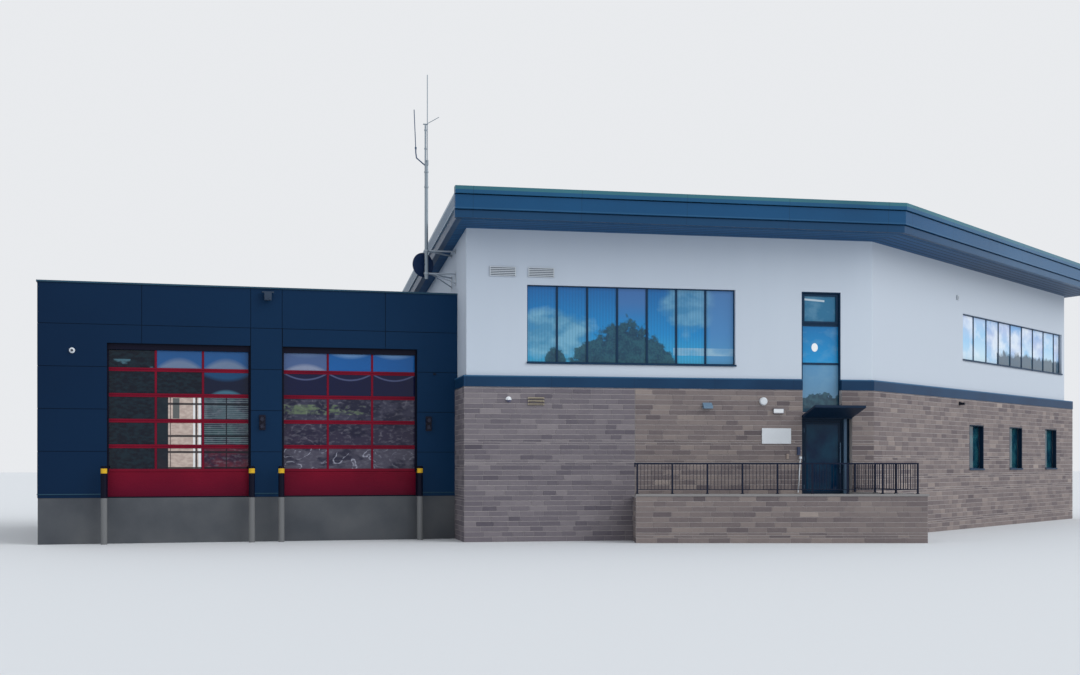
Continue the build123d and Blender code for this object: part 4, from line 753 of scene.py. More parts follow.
def door_glass_look():
    """Bulged panes: a painted reflection of sky in the top row and of dark trees and green banks below it,
    with patches of level slats and a pale wall.
    """
    look = Look("hall_door_glass")
    along = look.run(HALL_CORNER, HALL_ALONG)
    second = along > DOORS[1] - 0.3
    first = 1 - second
    column = (along - DOORS[0] - LEAF_INSET - second * (DOORS[1] - DOORS[0])) / DOOR_COLUMN
    across = column.remainder(1.0) - 0.5
    bow = across * across
    height = look.z - FLOOR
    row = height / SECTION
    up = row.remainder(1.0)
    cloud = look.noise(1.9, 3, (1, 1, 1.7))
    fine = look.noise(7.0, 4, (1, 1, 2.0))
    curves = (look.noise(1.1, 2, (1, 1, 1.3)) * 7).remainder(1.0)
    squiggle = look.span(curves, 0.13, 0.03) * look.span(fine, 0.4, 0.56)
    left_door = look.ramp(
        row / SECTIONS,
        (0.0, srgb(84, 30, 48)),
        (0.334, srgb(40, 66, 72)),
        (0.5, srgb(54, 74, 84)),
        (0.667, srgb(8, 20, 48)),
        (0.833, srgb(34, 84, 138)),
        constant=True,
    )
    right_door = look.ramp(
        row / SECTIONS,
        (0.0, srgb(74, 72, 88)),
        (0.334, srgb(46, 42, 64)),
        (0.5, srgb(56, 56, 76)),
        (0.667, srgb(8, 16, 56)),
        (0.833, srgb(22, 92, 160)),
        constant=True,
    )
    base = look.mix(second, left_door, right_door)
    middle_rows = row.between(1.0, 4.0)
    base = look.mix(middle_rows * look.span(cloud, 0.52, 0.4, 0.0, 0.75), base, srgb(16, 18, 46))
    base = look.mix(middle_rows * look.span(fine, 0.5, 0.68, 0.0, 0.24), base, srgb(132, 132, 144))
    # Painted reflection of green banks in the second door, and level slats in the first
    bank = second * row.between(3.3, 3.7) * (column < 1.95)
    bank = bank * look.span(cloud * 0.6 + fine * 0.4, 0.44, 0.54) * look.span(fine, 0.36, 0.56, 0.3, 0.85)
    base = look.mix(bank, base, srgb(98, 116, 88))
    slats = first * row.between(2.0, 4.0) * (column > 2) * (height.remainder(0.055) < 0.02)
    base = look.mix(slats * 0.35, base, srgb(150, 166, 172))
    pale_lines = second * row.between(1.0, 2.0) * look.span(column, 2.0, 2.1, 1.0, 0.35)
    base = look.mix(pale_lines * squiggle * 0.7, base, srgb(186, 188, 206))
    base = look.mix(second * row.between(2.0, 4.0) * squiggle * 0.22, base, srgb(150, 146, 158))
    # A pale wall in the middle of the first door, behind dark glazing bars
    wall = first * middle_rows * column.between(1.26, 1.96)
    lit = look.mottle(fine, srgb(176, 158, 150), srgb(196, 180, 170), 0.4, 0.6)
    lit = look.mix(row.between(3.1, 3.9) * column.between(1.36, 1.5), lit, srgb(92, 96, 96))
    lit = look.mix(column.between(1.79, 1.83).greater(column > 1.9), lit, srgb(226, 228, 230))
    base = look.mix(wall, base, lit)
    shade_left = first * middle_rows * column.between(1.0, 1.26)
    base = look.mix(shade_left * 0.9, base, srgb(10, 26, 36))
    level_bar = height.remainder(0.445).between(0.335, 0.395)
    upright = column.between(1.3, 1.315).greater(column.between(1.84, 1.875))
    upright = upright.greater(column.between(2.49, 2.515))
    bars = level_bar.greater(upright) * first * middle_rows * (column > 1.26)
    base = look.mix(bars * 0.9, base, srgb(6, 10, 24))
    # Sky and its curved mirror images in the upper two rows
    top_row = row > 5
    foot_arc = look.span(up - 0.42 + bow * 1.7, 0.1, -0.1)
    head_arc = look.span(up - 0.62 - bow * 0.9, -0.08, 0.08)
    base = look.mix(top_row * first * foot_arc * 0.8, base, srgb(112, 128, 152))
    base = look.mix(top_row * second * head_arc * 0.7, base, srgb(120, 160, 204))
    ring = look.span(up - 0.3 + bow * 1.2, 0.07, -0.07) * (column < 1)
    pale_pane = top_row * second * (column < 1)
    base = look.mix(pale_pane * 0.75, base, srgb(84, 100, 136))
    base = look.mix(top_row * second * ring * 0.7, base, srgb(150, 158, 180))
    fourth = row.between(4.0, 5.0)
    low_arc = look.span(up - 0.22 + bow * 1.6, 0.05, -0.05)
    base = look.mix(fourth * head_arc * (column > 2) * first * 0.8, base, srgb(22, 74, 116))
    base = look.mix(fourth * low_arc * (column > 2) * first * 0.8, base, srgb(70, 116, 138))
    rim = look.span(up - 0.66 - bow * 1.1, 0.0, 0.03) * look.span(up - 0.72 - bow * 1.1, 0.03, 0.0)
    base = look.mix(fourth * second * rim * 0.6, base, srgb(96, 106, 146))
    # Painted reflection of dark trees over the first door's left panes
    trees = first * (column < 1).greater(fourth * (column < 2))
    leafy = look.mottle(fine, srgb(0, 10, 28), srgb(10, 32, 44), 0.4, 0.62)
    glimpse = top_row * look.span(cloud, 0.6, 0.66, 0.0, 0.6) * (up < 0.4)
    base = look.mix(trees, base, look.mix(glimpse, leafy, srgb(84, 128, 144)))
    return glazing(look, base, cloud, rough=0.12, coat=0.1, specular=0.2)


def bollard_look():
    """Black paint with a yellow band, on a bare foot below the floor."""
    look = Look("bollard_paint")
    fine = look.noise(40, 3)
    band = look.z.between(*BOLLARD_BAND)
    paint = look.mix(band, srgb(8, 10, 30), srgb(214, 172, 44))
    return look.finish(
        Base_Color=look.mix(look.z < FLOOR, paint, srgb(112, 114, 116)),
        Roughness=look.wear(fine, 0.4, 0.6),
        Normal=look.bump(fine, 0.3, 0.0008),
        Specular_IOR_Level=0.12,
    )


def concrete_look(name, colour, slab=0):
    """Concrete, with sawn joints on a grid where a slab's size is given."""
    look = Look(name)
    fine = look.noise(26, 5)
    cloud = look.noise(0.6, 4)
    body = look.mottle(cloud * 0.6 + fine * 0.4, colour, shade(colour, 1.18))
    if slab:
        line = (look.x.remainder(slab) < SAWN_JOINT).greater(look.y.remainder(slab) < SAWN_JOINT)
        body = look.mix(line * 0.55, body, srgb(40, 40, 44))
    return look.finish(
        Base_Color=body,
        Roughness=look.wear(fine, 0.75, 0.95),
        Normal=look.bump(fine, 0.6, 0.002),
    )


def vent_colour(look):
    """White louvres under the eaves, tan ones in the stone, with painted shade darkening the white louvres'
    recesses and the gaps between the tan blades.
    """
    # Painted shade in the recesses of the white louvres.
    recess = -1 * office_inward(look) < VENT_RECESS
    white = look.mix(recess, srgb(196, 204, 212), srgb(92, 104, 118))
    rise = look.z - STONE_VENT_FOOT - STONE_VENT_EDGE
    # Painted shade: dark stripes between the tan blades.
    blade = rise.remainder(STONE_VENT_PITCH) < STONE_VENT_BLADE
    tan = look.mix(blade, srgb(86, 80, 80), srgb(160, 150, 130))
    return look.mix(look.z < BAND_BOTTOM, white, tan)


def dome_camera_colour(look):
    """A white housing whose ball is dark towards its front."""
    ball = look.span(look.run(HALL_CORNER, -HALL_INWARD), *CAMERA_BALL)
    return look.mix(ball, srgb(214, 220, 226), srgb(24, 30, 44))


def signal_colour(look):
    """A dark body and hoods round two grey lenses."""
    lens = look.run(HALL_CORNER, -HALL_INWARD).between(*SIGNAL_LENS)
    return look.mix(lens, srgb(8, 8, 34), srgb(52, 56, 78))


def wall_light_colour(look):
    """A white lens over a foot darkened with painted shade, a blue-grey hooded lamp, and a white strip in a
    grey housing.
    """
    # The first stop is painted shade: the dome light's body below its white lens is kept dark.
    housing = look.ramp(
        look.x / FRONT_LENGTH,
        (0.0, srgb(78, 78, 104)),
        (0.3, srgb(104, 132, 156)),
        (0.7, srgb(116, 112, 118)),
        constant=True,
    )
    dome = (look.x < DOME_LIGHT_END) * (look.z > DOME_LIGHT_LENS)
    strip = look.x.between(*STRIP_LIGHT[:2]) * look.z.between(*STRIP_LIGHT[2:])
    return look.mix(dome.greater(strip), housing, srgb(228, 232, 236))


def entry_unit_colour(look):
    """A pale button plate by the door and a dark blue reader next to it."""
    return look.mix(look.x < ENTRY_SPLIT, srgb(34, 50, 84), srgb(146, 132, 124))


STONE = stone_look()
MORTAR = plain("mortar", srgb(172, 167, 166), 0.9, grain=120, depth=0.0015, Specular_IOR_Level=0.2)
SEALANT = plain("joint_sealant", srgb(134, 128, 126), 0.8)
RENDER = render_look()
FASCIA = fascia_look()
VERGE = verge_look()
SOFFIT = soffit_look()
BAND = band_look()
SLATE = painted_metal("slate_frame", srgb(20, 52, 80))
SLATE_DARK = painted_metal("slate_frame_dark", srgb(8, 34, 56))
CANOPY = painted_metal("canopy_metal", srgb(20, 42, 66))
CLADDING = cladding_look()
HALL_BASE = hall_base_look()
CAP = painted_metal("cap_metal", srgb(40, 72, 92))
ROOF = painted_metal("roof_sheet", srgb(112, 126, 140))
CONCRETE = concrete_look("concrete", srgb(136, 138, 140))
PAVING = concrete_look("terrace_paving", srgb(126, 128, 132), PAVING_SLAB)
COPING = concrete_look("coping_stone", srgb(132, 130, 130))
RAILING = painted_metal("railing_paint", srgb(16, 26, 48))
BLACK = painted_metal("door_black", srgb(8, 8, 32))
RED = red_door_look()
LIGHT_METAL = plain("light_metal", srgb(158, 168, 178), 0.35, 0.3)
GREY_METAL = plain("grey_metal", srgb(140, 152, 162), 0.4, 0.3)
POST_METAL = painted_metal("post_metal", srgb(76, 100, 124))
ANTENNA = painted_metal("antenna_paint", srgb(74, 92, 116))
DISH = painted_metal("dish_paint", srgb(20, 42, 76))
HOUSING = painted_metal("lamp_housing", srgb(50, 64, 82))
WHITE = plain("white_plastic", srgb(214, 220, 226), 0.4)
DARK = painted_metal("dark_plastic", srgb(20, 26, 40))
ENTRY = fitting("entry_unit", entry_unit_colour, 0.35, 0.5)
WALL_LIGHT = fitting("wall_light", wall_light_colour, 0.35, 0.5)
VENT = fitting("louvre_metal", vent_colour, 0.45, 0.6, relief=(0.4, 0.0005))
DOME_CAMERA = fitting("dome_camera", dome_camera_colour, 0.25, 0.4)
SIGNAL = fitting("signal_plastic", signal_colour, 0.3, 0.5, Specular_IOR_Level=0.25)
WINDOW = window_look()
LOWER_WINDOW = lower_window_look()
STAIR = stair_look()
ENTRANCE_GLASS = entrance_glass_look()
DOOR_GLASS = door_glass_look()
BOLLARD = bollard_look()

NODE_LOOKS = {
    MORTAR: "stone_front_wall stone_entrance_pier stone_entrance_lintel stone_side_wall stone_rear_walls "
    "stone_left_wall terrace_wall",
    CONCRETE: "entrance_step ground_floor first_floor hall_floor",
    BAND: "string_band",
    RENDER: "render_front_wall render_side_wall render_rear_walls render_left_wall",
    SOFFIT: "roof_soffit",
    ROOF: "roof_deck hall_roof",
    FASCIA: "front_fascia",
    VERGE: "verge_fascia",
    SLATE: "upper_window_frames lower_window_frames stair_window_frame",
    SLATE_DARK: "entrance_frame entrance_door",
    WINDOW: "upper_window_glass",
    LOWER_WINDOW: "lower_window_glass",
    STAIR: "stair_window_glass",
    LIGHT_METAL: "mast_brackets",
    POST_METAL: "entrance_post door_hinges door_handle",
    ENTRANCE_GLASS: "entrance_door_glass",
    CANOPY: "entrance_canopy",
    COPING: "terrace_coping",
    PAVING: "terrace_floor",
    RAILING: "terrace_railing",
    HALL_BASE: "hall_front_wall hall_left_wall hall_rear_wall",
    CAP: "hall_parapet_cap hall_drip_trim",
    BLACK: "hall_door_frames",
    RED: "hall_door_leaves",
    SIGNAL: "door_signals",
    DOOR_GLASS: "hall_door_glass",
    BOLLARD: "bollards",
    DARK: "side_camera",
    DISH: "satellite_dish",
    HOUSING: "floodlight",
    DOME_CAMERA: "security_dome",
    WHITE: "alarm_box grab_rail",
    WALL_LIGHT: "wall_lights",
    VENT: "wall_vents",
    ENTRY: "door_entry_units",
    GREY_METAL: "mast_pole",
    ANTENNA: "side_antenna",
}
for material, names in NODE_LOOKS.items():
    for name in names.split():
        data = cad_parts[name].data
        data.materials.clear()
        data.materials.append(material)


def add_box(mesh, middle, across, inward, up):
    """Adds a box with the given edge vectors about a middle point. Gives its faces."""
    turn = Matrix([[*row] for row in zip(across, inward, up)]).to_4x4()
    made = bmesh.ops.create_cube(mesh, size=1, matrix=Matrix.Translation(middle) @ turn)
    return {face for vert in made["verts"] for face in vert.link_faces}


class Face:
    """An outer wall face: x runs to the right along it, z is the height above the lowest ground."""

    def __init__(self, origin, along):
        self.origin = Vector(origin)
        self.along = Vector(along).normalized()
        self.outward = Vector((self.along.y, -self.along.x, 0))

    def box(self, mesh, left, right, low, high, back, front):
        """Adds a box on the face, back and front measured outward from it. Gives its faces."""
        middle = self.origin + self.along * ((left + right) / 2) + UP * ((low + high) / 2)
        middle += self.outward * ((back + front) / 2)
        inward = self.outward * (back - front)
        return add_box(mesh, middle, self.along * (right - left), inward, UP * (high - low))

    def fronts(self, mesh):
        """The mesh's own faces that look outward."""
        return [f for f in mesh.faces if f.normal.dot(self.outward) > 0.9]


def ends(left, right, width):
    """The strips of one width at both ends of a span."""
    return (left, left + width), (right - width, right)


def clear_strips(left, right, low, high, openings):
    """What is left of a rectangle on a face when the openings are cut out of it."""
    hits = [o for o in openings if o[0] < right and o[1] > left and o[2] < high and o[3] > low]
    edges = sorted({left, right, *(min(max(x, left), right) for o in hits for x in o[:2])})
    for start, end in zip(edges, edges[1:]):
        spans = [(low, high)]
        for o in hits:
            if o[0] < end and o[1] > start:
                spans = [s for a, b in spans for s in ((a, min(b, o[2])), (max(a, o[3]), b)) if s[1] > s[0]]
        for bottom, top in spans:
            yield start, end, bottom, top


def into_piece(mesh, name, look, body="building"):
    """Turns a bmesh into a piece of the scene that rides on a body."""
    data = bpy.data.meshes.new(name)
    mesh.to_mesh(data)
    mesh.free()
    data.materials.append(look)
    piece = bpy.data.objects.new(name, data)
    bpy.context.collection.objects.link(piece)
    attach(piece, body)
    return piece


def soften(mesh, amount):
    """Takes the sharpness off every edge."""
    bmesh.ops.bevel(
        mesh,
        geom=mesh.edges[:],
        offset=amount,
        offset_type="OFFSET",
        affect="EDGES",
        segments=1,
        profile=0.5,
        material=-1,
    )


def course_rows(top):
    """Course heights up a wall: whole courses, some of them laid as two thin ones."""
    low = 0.0
    while low < top - 0.02:
        high = min(low + COURSE, top)
        if random.random() < THIN_COURSES and high - low > COURSE * 0.9:
            yield low, low + COURSE / 2
            yield low + COURSE / 2, high
        else:
            yield low, high
        low = high


def lay_blocks(mesh, tone, face, left, right, low, high):
    """Blocks of uneven length and tone along one strip of a course."""
    start = left
    while start < right - 0.01:
        end = start + random.uniform(*BLOCK_LENGTHS)
        if end > right - SHORTEST_END:
            end = right
        block = (start + END_JOINT / 2, end - END_JOINT / 2, low + BED_JOINT / 2, high - BED_JOINT / 2)
        made = face.box(mesh, *block, SET_IN, BLOCK_FACE)
        value = min(1.0, max(0.0, random.gauss(0.5, TONE_SPREAD)))
        for side in made:
            side[tone] = value
        start = end


def pitch_faces(mesh, face):
    """Raises a rough field within the edges of each block's face."""
    fronts = face.fronts(mesh)
    bmesh.ops.inset_individual(mesh, faces=fronts, thickness=PITCH_EDGE, depth=PITCH_OUT)
    for front in fronts:
        for vert in front.verts:
            vert.co += face.outward * random.uniform(-ROUGHNESS_OUT, ROUGHNESS_OUT)


def lay_stones(name, walls):
    """Coursed stone blocks on faces: each wall is a face, its width, its height and its openings."""
    total = bmesh.new()
    for face, width, top, openings in walls:
        for low, high in course_rows(top):
            row = bmesh.new()
            tone = row.faces.layers.float.new("tone")
            for left, right, bottom, upper in clear_strips(0, width, low, high, openings):
                if right - left < SMALLEST_STRIP[0] or upper - bottom < SMALLEST_STRIP[1]:
                    continue
                lay_blocks(row, tone, face, left, right, bottom, upper)
            pitch_faces(row, face)
            course = bpy.data.meshes.new("course")
            row.to_mesh(course)
            row.free()
            total.from_mesh(course)
            bpy.data.meshes.remove(course)
    return into_piece(total, name, STONE)


def shifted(opening, by):
    """An opening measured from a wall face's own left end."""
    return (opening[0] + by, opening[1] + by, *opening[2:])


# Wall faces from the front left corner round
corner_step = PROUD * HALF_BEND_TAN
front_face = Face((-PROUD, -PROUD, 0), (1, 0, 0))
front_width = FRONT_LENGTH + PROUD + corner_step
side_face = Face(CORNER + OUTWARD * PROUD - ALONG * corner_step, ALONG)
side_width = STONE_WING + PROUD + corner_step
wing_end = CORNER + ALONG * (STONE_WING + PROUD) + OUTWARD * PROUD
end_face = Face(wing_end, -OUTWARD)
end_width = DEPTH + 2 * PROUD
wing_rear = wing_end - OUTWARD * end_width
inner_corner = Vector((FRONT_LENGTH - (DEPTH + PROUD) * HALF_BEND_TAN, DEPTH + PROUD, 0))
wing_rear_face = Face(wing_rear, -ALONG)
rear_face = Face(inner_corner, (-1, 0, 0))
left_face = Face((-PROUD, DEPTH + PROUD, 0), (0, -1, 0))

# Terrace outline
terrace_dir = Vector((math.cos(TERRACE_TURN), math.sin(TERRACE_TURN), 0))
terrace_in = Vector((-terrace_dir.y, terrace_dir.x, 0))
terrace_left = Vector(TERRACE_LEFT)
terrace_right = terrace_left + terrace_dir * TERRACE_LENGTH
terrace_end = Vector((TERRACE_END, -PROUD, 0))
terrace_back = terrace_left + terrace_in * ((-PROUD - terrace_left.y) / terrace_in.y)

# What the stone leaves open
terrace_hides = (terrace_back.x, terrace_end.x, 0, FLOOR)
movement_gap = (MOVEMENT_JOINT - MOVEMENT_GAP / 2, MOVEMENT_JOINT + MOVEMENT_GAP / 2, 0, BAND_BOTTOM)
stair_in_stone = (*STAIR_WINDOW[:3], BAND_BOTTOM)
front_openings = [shifted(o, PROUD) for o in (ENTRANCE, stair_in_stone, terrace_hides, movement_gap)]
side_openings = [shifted(o, corner_step) for o in LOWER_WINDOWS]
hall_against = (DEPTH + PROUD - HALL_DEPTH - HALL_REAR_STEP, DEPTH + PROUD - HALL_SETBACK, 0, BAND_TOP)

lay_stones("stone_blocks_front", [(front_face, front_width, BAND_BOTTOM, front_openings)])
lay_stones("stone_blocks_side", [(side_face, side_width, BAND_BOTTOM, side_openings)])
lay_stones(
    "stone_blocks_rear",
    [
        (end_face, end_width, BAND_BOTTOM, []),
        (wing_rear_face, (wing_rear - inner_corner).length, BAND_BOTTOM, []),
        (rear_face, inner_corner.x + PROUD, BAND_BOTTOM, []),
    ],
)
lay_stones("stone_blocks_left", [(left_face, end_width, BAND_BOTTOM, [hall_against])])
return_run = terrace_end - terrace_right
end_run = terrace_left - terrace_back
lay_stones(
    "stone_blocks_terrace",
    [
        (Face(terrace_left, terrace_dir), TERRACE_LENGTH, TERRACE_TOP, []),
        (Face(terrace_right, return_run), return_run.length, TERRACE_TOP, []),
        (Face(terrace_back, end_run), end_run.length, FLOOR, []),
    ],
)

sealant = bmesh.new()
gap_left, gap_right = movement_gap[0] + PROUD, movement_gap[1] + PROUD
front_face.box(sealant, gap_left, gap_right, 0, BAND_BOTTOM, SET_IN, BLOCK_FACE)
soften(sealant, FINE_EDGE)
into_piece(sealant, "movement_joint", SEALANT)


def lay_panels(name, face, width, joints, openings):
    """Flat cladding panels between the levels, with open joints round each whole panel."""
    mesh = bmesh.new()
    half = PANEL_GAP / 2
    for low, high in zip(PANEL_LEVELS, PANEL_LEVELS[1:]):
        edges = [0, *joints, width]
        for left, right in zip(edges, edges[1:]):
            inner = (left + half, right - half, low + half, high - half)
            for start, end, bottom, top in clear_strips(*inner, openings):
                if end - start > SMALLEST_PANEL[0] and top - bottom > SMALLEST_PANEL[1]:
                    face.box(mesh, start, end, bottom, top, SET_IN, PANEL_OUT)
    return into_piece(mesh, name, CLADDING)


hall_front = Face(HALL_CORNER, HALL_ALONG)
door_openings = [(x, x + DOOR_WIDTH, FLOOR, DOOR_HEAD) for x in DOORS]
lay_panels("cladding_front", hall_front, HALL_WIDTH, PANEL_JOINTS, door_openings)
hall_rear_start = HALL_CORNER + HALL_INWARD * HALL_DEPTH
hall_left = Face(hall_rear_start, -HALL_INWARD)
lay_panels("cladding_left", hall_left, HALL_DEPTH, [PANEL_PITCH * n for n in range(1, 5)], [])
rear_reach = -hall_rear_start.x / HALL_ALONG.x - PROUD
hall_rear = Face(hall_rear_start + HALL_ALONG * rear_reach, -HALL_ALONG)
lay_panels("cladding_rear", hall_rear, rear_reach, [PANEL_PITCH * n for n in range(1, 4)], [])

# Sensor on the hall front, right of the second door
sensor = bmesh.new()
hall_front.box(sensor, *SENSOR, PANEL_OUT, SENSOR_OUT)
soften(sensor, MOULDED_EDGE)
into_piece(sensor, "door_sensor", DARK)


def door_rows():
    """Foot and top of the panes in each glazed section of a door."""
    for row in range(1, SECTIONS):
        low = max(row * SECTION + RAIL, FOOT_TOP)
        high = min((row + 1) * SECTION - RAIL, LEAF_TOP - FLOOR - LEAF_GAP)
        yield FLOOR + low, FLOOR + high


def door_frames():
    """The dark lining of each door opening and the leaves' outer stiles."""
    mesh = bmesh.new()
    head = LEAF_TOP - LEAF_GAP
    for start in DOORS:
        end = start + DOOR_WIDTH
        hall_front.box(mesh, start, end, head, DOOR_HEAD, FRAME_REAR, FRAME_FACE)
        for left, right in ends(start, end, LEAF_INSET + STILE / 2):
            hall_front.box(mesh, left, right, FLOOR + SECTION, head, FRAME_REAR, LEAF_FACE + STILE_OUT)
        for left, right in ends(start, end, LEAF_INSET):
            hall_front.box(mesh, left, right, FLOOR, head, FRAME_REAR, FRAME_FACE)
        seal = (start + SEAL_INSET, end - SEAL_INSET, FLOOR, FLOOR + SEAL_HEIGHT)
        hall_front.box(mesh, *seal, LEAF_FACE, LEAF_FACE + SEAL_OUT)
    soften(mesh, FRAME_EDGE)
    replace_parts(into_piece(mesh, "section_door_frames", BLACK), "hall_door_frames")


def door_leaves():
    """Ribbed foot panels, the rails above and below each groove, and the uprights between panes."""
    mesh = bmesh.new()
    for start in DOORS:
        left = start + LEAF_INSET
        right = start + DOOR_WIDTH - LEAF_INSET
        for rib in range(RIBS):
            low = FLOOR + SECTION_GROOVE + rib * RIB
            hall_front.box(mesh, left, right, low, low + RIB, LEAF_REAR, LEAF_FACE)
        for row in range(1, SECTIONS):
            joint = FLOOR + row * SECTION
            over = FLOOR + max(row * SECTION + RAIL, FOOT_TOP)
            hall_front.box(mesh, left, right, joint + SECTION_GROOVE, over, LEAF_REAR, LEAF_FACE)
            if row > 1:
                hall_front.box(mesh, left, right, joint - RAIL, joint, LEAF_REAR, LEAF_FACE)
        for low, high in door_rows():
            for column in (1, 2):
                middle = left + column * DOOR_COLUMN
                upright = (middle - STILE / 2, middle + STILE / 2, low, high)
                hall_front.box(mesh, *upright, LEAF_REAR, LEAF_FACE)
    soften(mesh, FRAME_EDGE)
    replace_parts(into_piece(mesh, "section_door_leaves", RED), "hall_door_leaves")


def door_glass():
    """Panes whose faces bulge a little."""
    mesh = bmesh.new()
    for start in DOORS:
        for low, high in door_rows():
            for column in range(3):
                left = start + LEAF_INSET + column * DOOR_COLUMN + STILE / 2
                right = left + DOOR_COLUMN - STILE
                hall_front.box(mesh, left, right, low, high, PANE_REAR, PANE_FACE)
    fronts = hall_front.fronts(mesh)
    bmesh.ops.inset_individual(mesh, faces=fronts, thickness=PANE_RIM, depth=PANE_BULGE)
    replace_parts(into_piece(mesh, "section_door_glass", DOOR_GLASS), "hall_door_glass")


door_frames()
door_leaves()
door_glass()


def sill(mesh, face, window):
    """A folded metal sill under a window: a sheet with a lip turned down over the wall."""
    left, right, low = window[0] - SILL_END, window[1] + SILL_END, window[2]
    face.box(mesh, left, right, low, low + SILL_SHEET, SILL_BACK, SILL_OUT)
    face.box(mesh, left, right, low - SILL_LIP, low, SILL_OUT - SILL_SHEET, SILL_OUT)


sills = bmesh.new()
upper_front = Face((0, 0, 0), (1, 0, 0))
upper_side = Face(CORNER, ALONG)
sill(sills, upper_front, FRONT_WINDOW)
sill(sills, upper_side, SIDE_WINDOW)
stone_side = Face(CORNER + OUTWARD * PROUD, ALONG)
for window in LOWER_WINDOWS:
    sill(sills, stone_side, window)
into_piece(sills, "window_sills", SLATE)

# The opening light's own frame in the top of the stair window, and the window's outer casing
stair_left, stair_right, _, stair_head = STAIR_WINDOW
sash = bmesh.new()
sash_left, sash_right = stair_left + SASH_EDGE, stair_right - SASH_EDGE
sash_low, sash_high = STAIR_TOP_LIGHT + SASH_EDGE, stair_head - SASH_EDGE
for start, end in ends(sash_left, sash_right, SASH_BAR):
    upper_front.box(sash, start, end, sash_low, sash_high, SASH_BACK, SASH_FACE)
for low, high in ends(sash_low, sash_high, SASH_BAR):
    upper_front.box(sash, sash_left + SASH_BAR, sash_right - SASH_BAR, low, high, SASH_BACK, SASH_FACE)
soften(sash, FRAME_EDGE)
into_piece(sash, "stair_sash_bead", SLATE)
casing = bmesh.new()
for start, end in ends(stair_left, stair_right, CASING):
    upper_front.box(casing, start, end, BAND_TOP, stair_head - CASING, CASING_BACK, CASING_FACE)
upper_front.box(casing, stair_left, stair_right, stair_head - CASING, stair_head, CASING_BACK, CASING_FACE)
soften(casing, SHEET_EDGE)
into_piece(casing, "stair_window_casing", SLATE)

# Dark sheets lining the small windows' reveals, and the flashing over the entrance
liners = bmesh.new()
for left, right, low, high in LOWER_WINDOWS:
    for start, end in ends(left, right, LINER):
        stone_side.box(liners, start, end, low + SILL_SHEET, high, LINER_BACK, LINER_FACE)
    stone_side.box(liners, left + LINER, right - LINER, high - LINER, high, LINER_BACK, LINER_FACE)
soften(liners, SHEET_EDGE)
into_piece(liners, "window_liners", SLATE_DARK)
flashing = bmesh.new()
head_left, head_right, _, head = shifted(ENTRANCE, PROUD)
sheet = (head_left, head_right, head - FLASHING_LAP, head + FLASHING_RISE)
front_face.box(flashing, *sheet, FLASHING_BACK, FLASHING_FACE)
soften(flashing, SHEET_EDGE)
into_piece(flashing, "entrance_flashing", SLATE_DARK)

# Blank sign plate by the entrance, on four studs
sign = bmesh.new()
sign_left, sign_right, sign_low, sign_high = shifted(SIGN, PROUD)
front_face.box(sign, sign_left, sign_right, sign_low, sign_high, SIGN_BACK, SIGN_FACE)
for across in (sign_left + STUD_INSET, sign_right - STUD_INSET):
    for height in (sign_low + STUD_INSET, sign_high - STUD_INSET):
        stud = (across - STUD / 2, across + STUD / 2, height - STUD / 2, height + STUD / 2)
        front_face.box(sign, *stud, 0, STUD_FACE)
soften(sign, FRAME_EDGE)
into_piece(sign, "blank_sign_plate", WHITE)

# Base plates and bolts under the railing posts
plates = bmesh.new()
rail_left = terrace_left + terrace_in * (TERRACE_WALL / 2)
return_dir = return_run.normalized()
return_in = Vector((-return_dir.y, return_dir.x, 0))
rail_return = terrace_right + return_in * (TERRACE_WALL / 2)
rail_lines = (rail_left, rail_left + terrace_dir, rail_return, rail_return + return_dir)
rail_corner = intersect_line_line(*rail_lines)[0]
rail_end = rail_return + return_dir * ((-PROUD - POST_INSET - rail_return.y) / return_dir.y)
first_post = rail_left + Vector((POST_INSET, 0, 0))
runs = ((first_post, rail_corner, RAIL_BAYS[0], 0), (rail_corner, rail_end, RAIL_BAYS[1], 1))
for start, end, bays, first in runs:
    run_dir = (end - start).normalized()
    run_in = Vector((-run_dir.y, run_dir.x, 0))
    for post in range(first, bays + (1 - first)):
        foot = start.lerp(end, post / bays) + UP * (COPING_TOP + BASE_PLATE_THICK / 2)
        add_box(plates, foot, run_dir * BASE_PLATE, run_in * BASE_PLATE, UP * BASE_PLATE_THICK)
        for side in (-1, 1):
            for depth in (-1, 1):
                spot = foot + (run_dir * side + run_in * depth) * (BASE_PLATE / 2 - BOLT_INSET)
                bmesh.ops.create_cone(
                    plates,
                    cap_ends=True,
                    segments=6,
                    radius1=BOLT_RADIUS,
                    radius2=BOLT_RADIUS,
                    depth=BOLT_HEIGHT,
                    matrix=Matrix.Translation(spot + UP * BASE_PLATE_THICK),
                )
into_piece(plates, "railing_base_plates", RAILING)


def roof_level(inward):
    """Height of the roof surface at a distance inward from the wall face."""
    return SOFFIT_LEVEL + ROOF_RISE - inward * FALL


def lay_seams(mesh, origin, along, inward_dir, start, end, limit):
    """Standing seams that fall with the roof, each as long as its place along the wing allows."""
    slope = (inward_dir - UP * FALL).normalized()
    for n in range(1, int((end - start) / SEAM_PITCH)):
        across = start + n * SEAM_PITCH
        near, far = limit(across)
        if far - near < SHORTEST_SEAM:
            continue
        middle = (near + far) / 2
        length = (far - near) / inward_dir.dot(slope)
        place = origin + along * across + inward_dir * middle + UP * (roof_level(middle) + SEAM_RISE / 2)
        add_box(mesh, place, along * SEAM_WIDTH, slope * length, along.cross(slope) * SEAM_RISE)


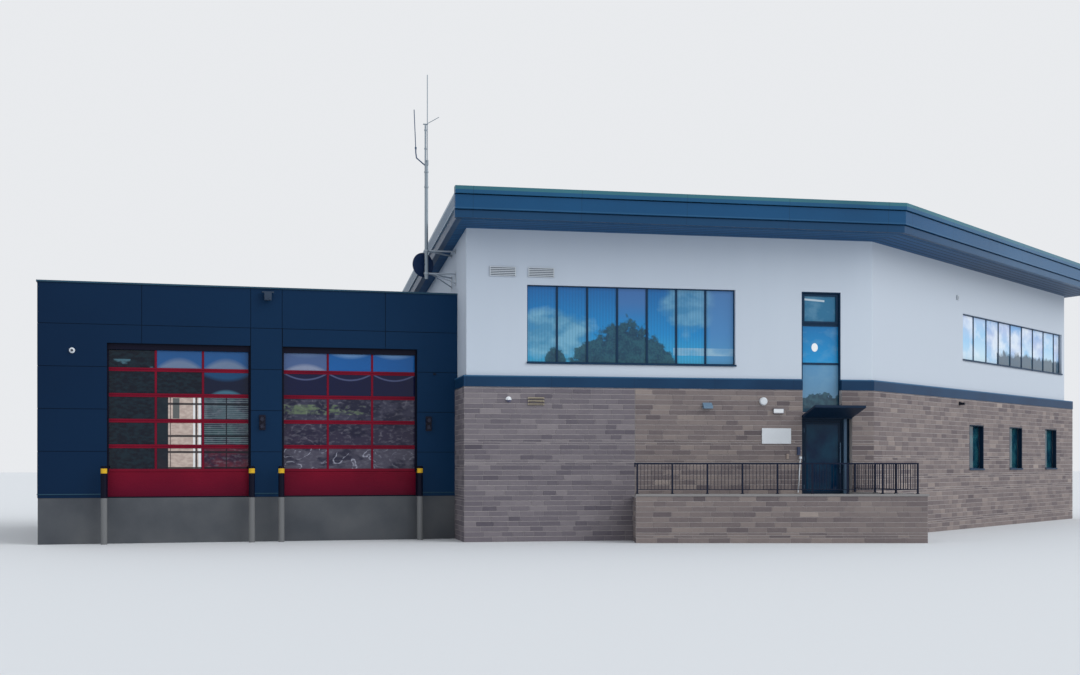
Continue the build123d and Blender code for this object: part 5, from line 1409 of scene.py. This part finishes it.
near_eaves = -EAVES_OUT + SEAM_STOP
far_eaves = DEPTH + REAR_OUT - SEAM_STOP
seams = bmesh.new()
lay_seams(
    seams,
    Vector((0, 0, 0)),
    Vector((1, 0, 0)),
    Vector((0, 1, 0)),
    -VERGE_OUT + SEAM_START,
    FRONT_LENGTH + EAVES_OUT * HALF_BEND_TAN,
    lambda x: (near_eaves, min(far_eaves, (FRONT_LENGTH - x) / HALF_BEND_TAN)),
)
lay_seams(
    seams,
    CORNER,
    ALONG,
    -OUTWARD,
    -EAVES_OUT * HALF_BEND_TAN,
    WING + VERGE_OUT,
    lambda s: (near_eaves, min(far_eaves, s / HALF_BEND_TAN)),
)
into_piece(seams, "roof_seams", ROOF)

# Studio floor, light and camera
floor_mesh = bmesh.new()
bmesh.ops.create_grid(floor_mesh, x_segments=1, y_segments=1, size=FLOOR_REACH)
floor_data = bpy.data.meshes.new("studio_floor")
floor_mesh.to_mesh(floor_data)
floor_mesh.free()
floor = bpy.data.objects.new("studio_floor", floor_data)
bpy.context.collection.objects.link(floor)
floor_look = Look("studio_floor")
floor_data.materials.append(floor_look.finish(Base_Color=srgb(214, 218, 222), Roughness=0.9))
floor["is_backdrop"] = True

world = bpy.data.worlds.new("studio")
bpy.context.scene.world = world
world.use_nodes = True
sky = world.node_tree.nodes["Background"].inputs
sky["Color"].default_value = srgb(238, 240, 243)
sky["Strength"].default_value = SKY_POWER

sun = bpy.data.lights.new("soft_key", "SUN")
sun.energy = SUN_POWER
sun.angle = SUN_SPREAD
key = bpy.data.objects.new("soft_key", sun)
key.rotation_euler = Vector(SUN_FROM).to_track_quat("Z", "Y").to_euler()
bpy.context.collection.objects.link(key)

camera_data = bpy.data.cameras.new("view")
camera_data.sensor_width = CAMERA_SENSOR
camera_data.lens = CAMERA_LENS
camera_data.shift_y = CAMERA_RISE
camera_data.clip_end = CAMERA_REACH
camera = bpy.data.objects.new("view", camera_data)
camera.location = CAMERA_PLACE
camera.rotation_euler = (math.radians(90), 0, CAMERA_TURN)
bpy.context.collection.objects.link(camera)
bpy.context.scene.camera = camera
bpy.context.scene.view_settings.view_transform = "Standard"

low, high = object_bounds()
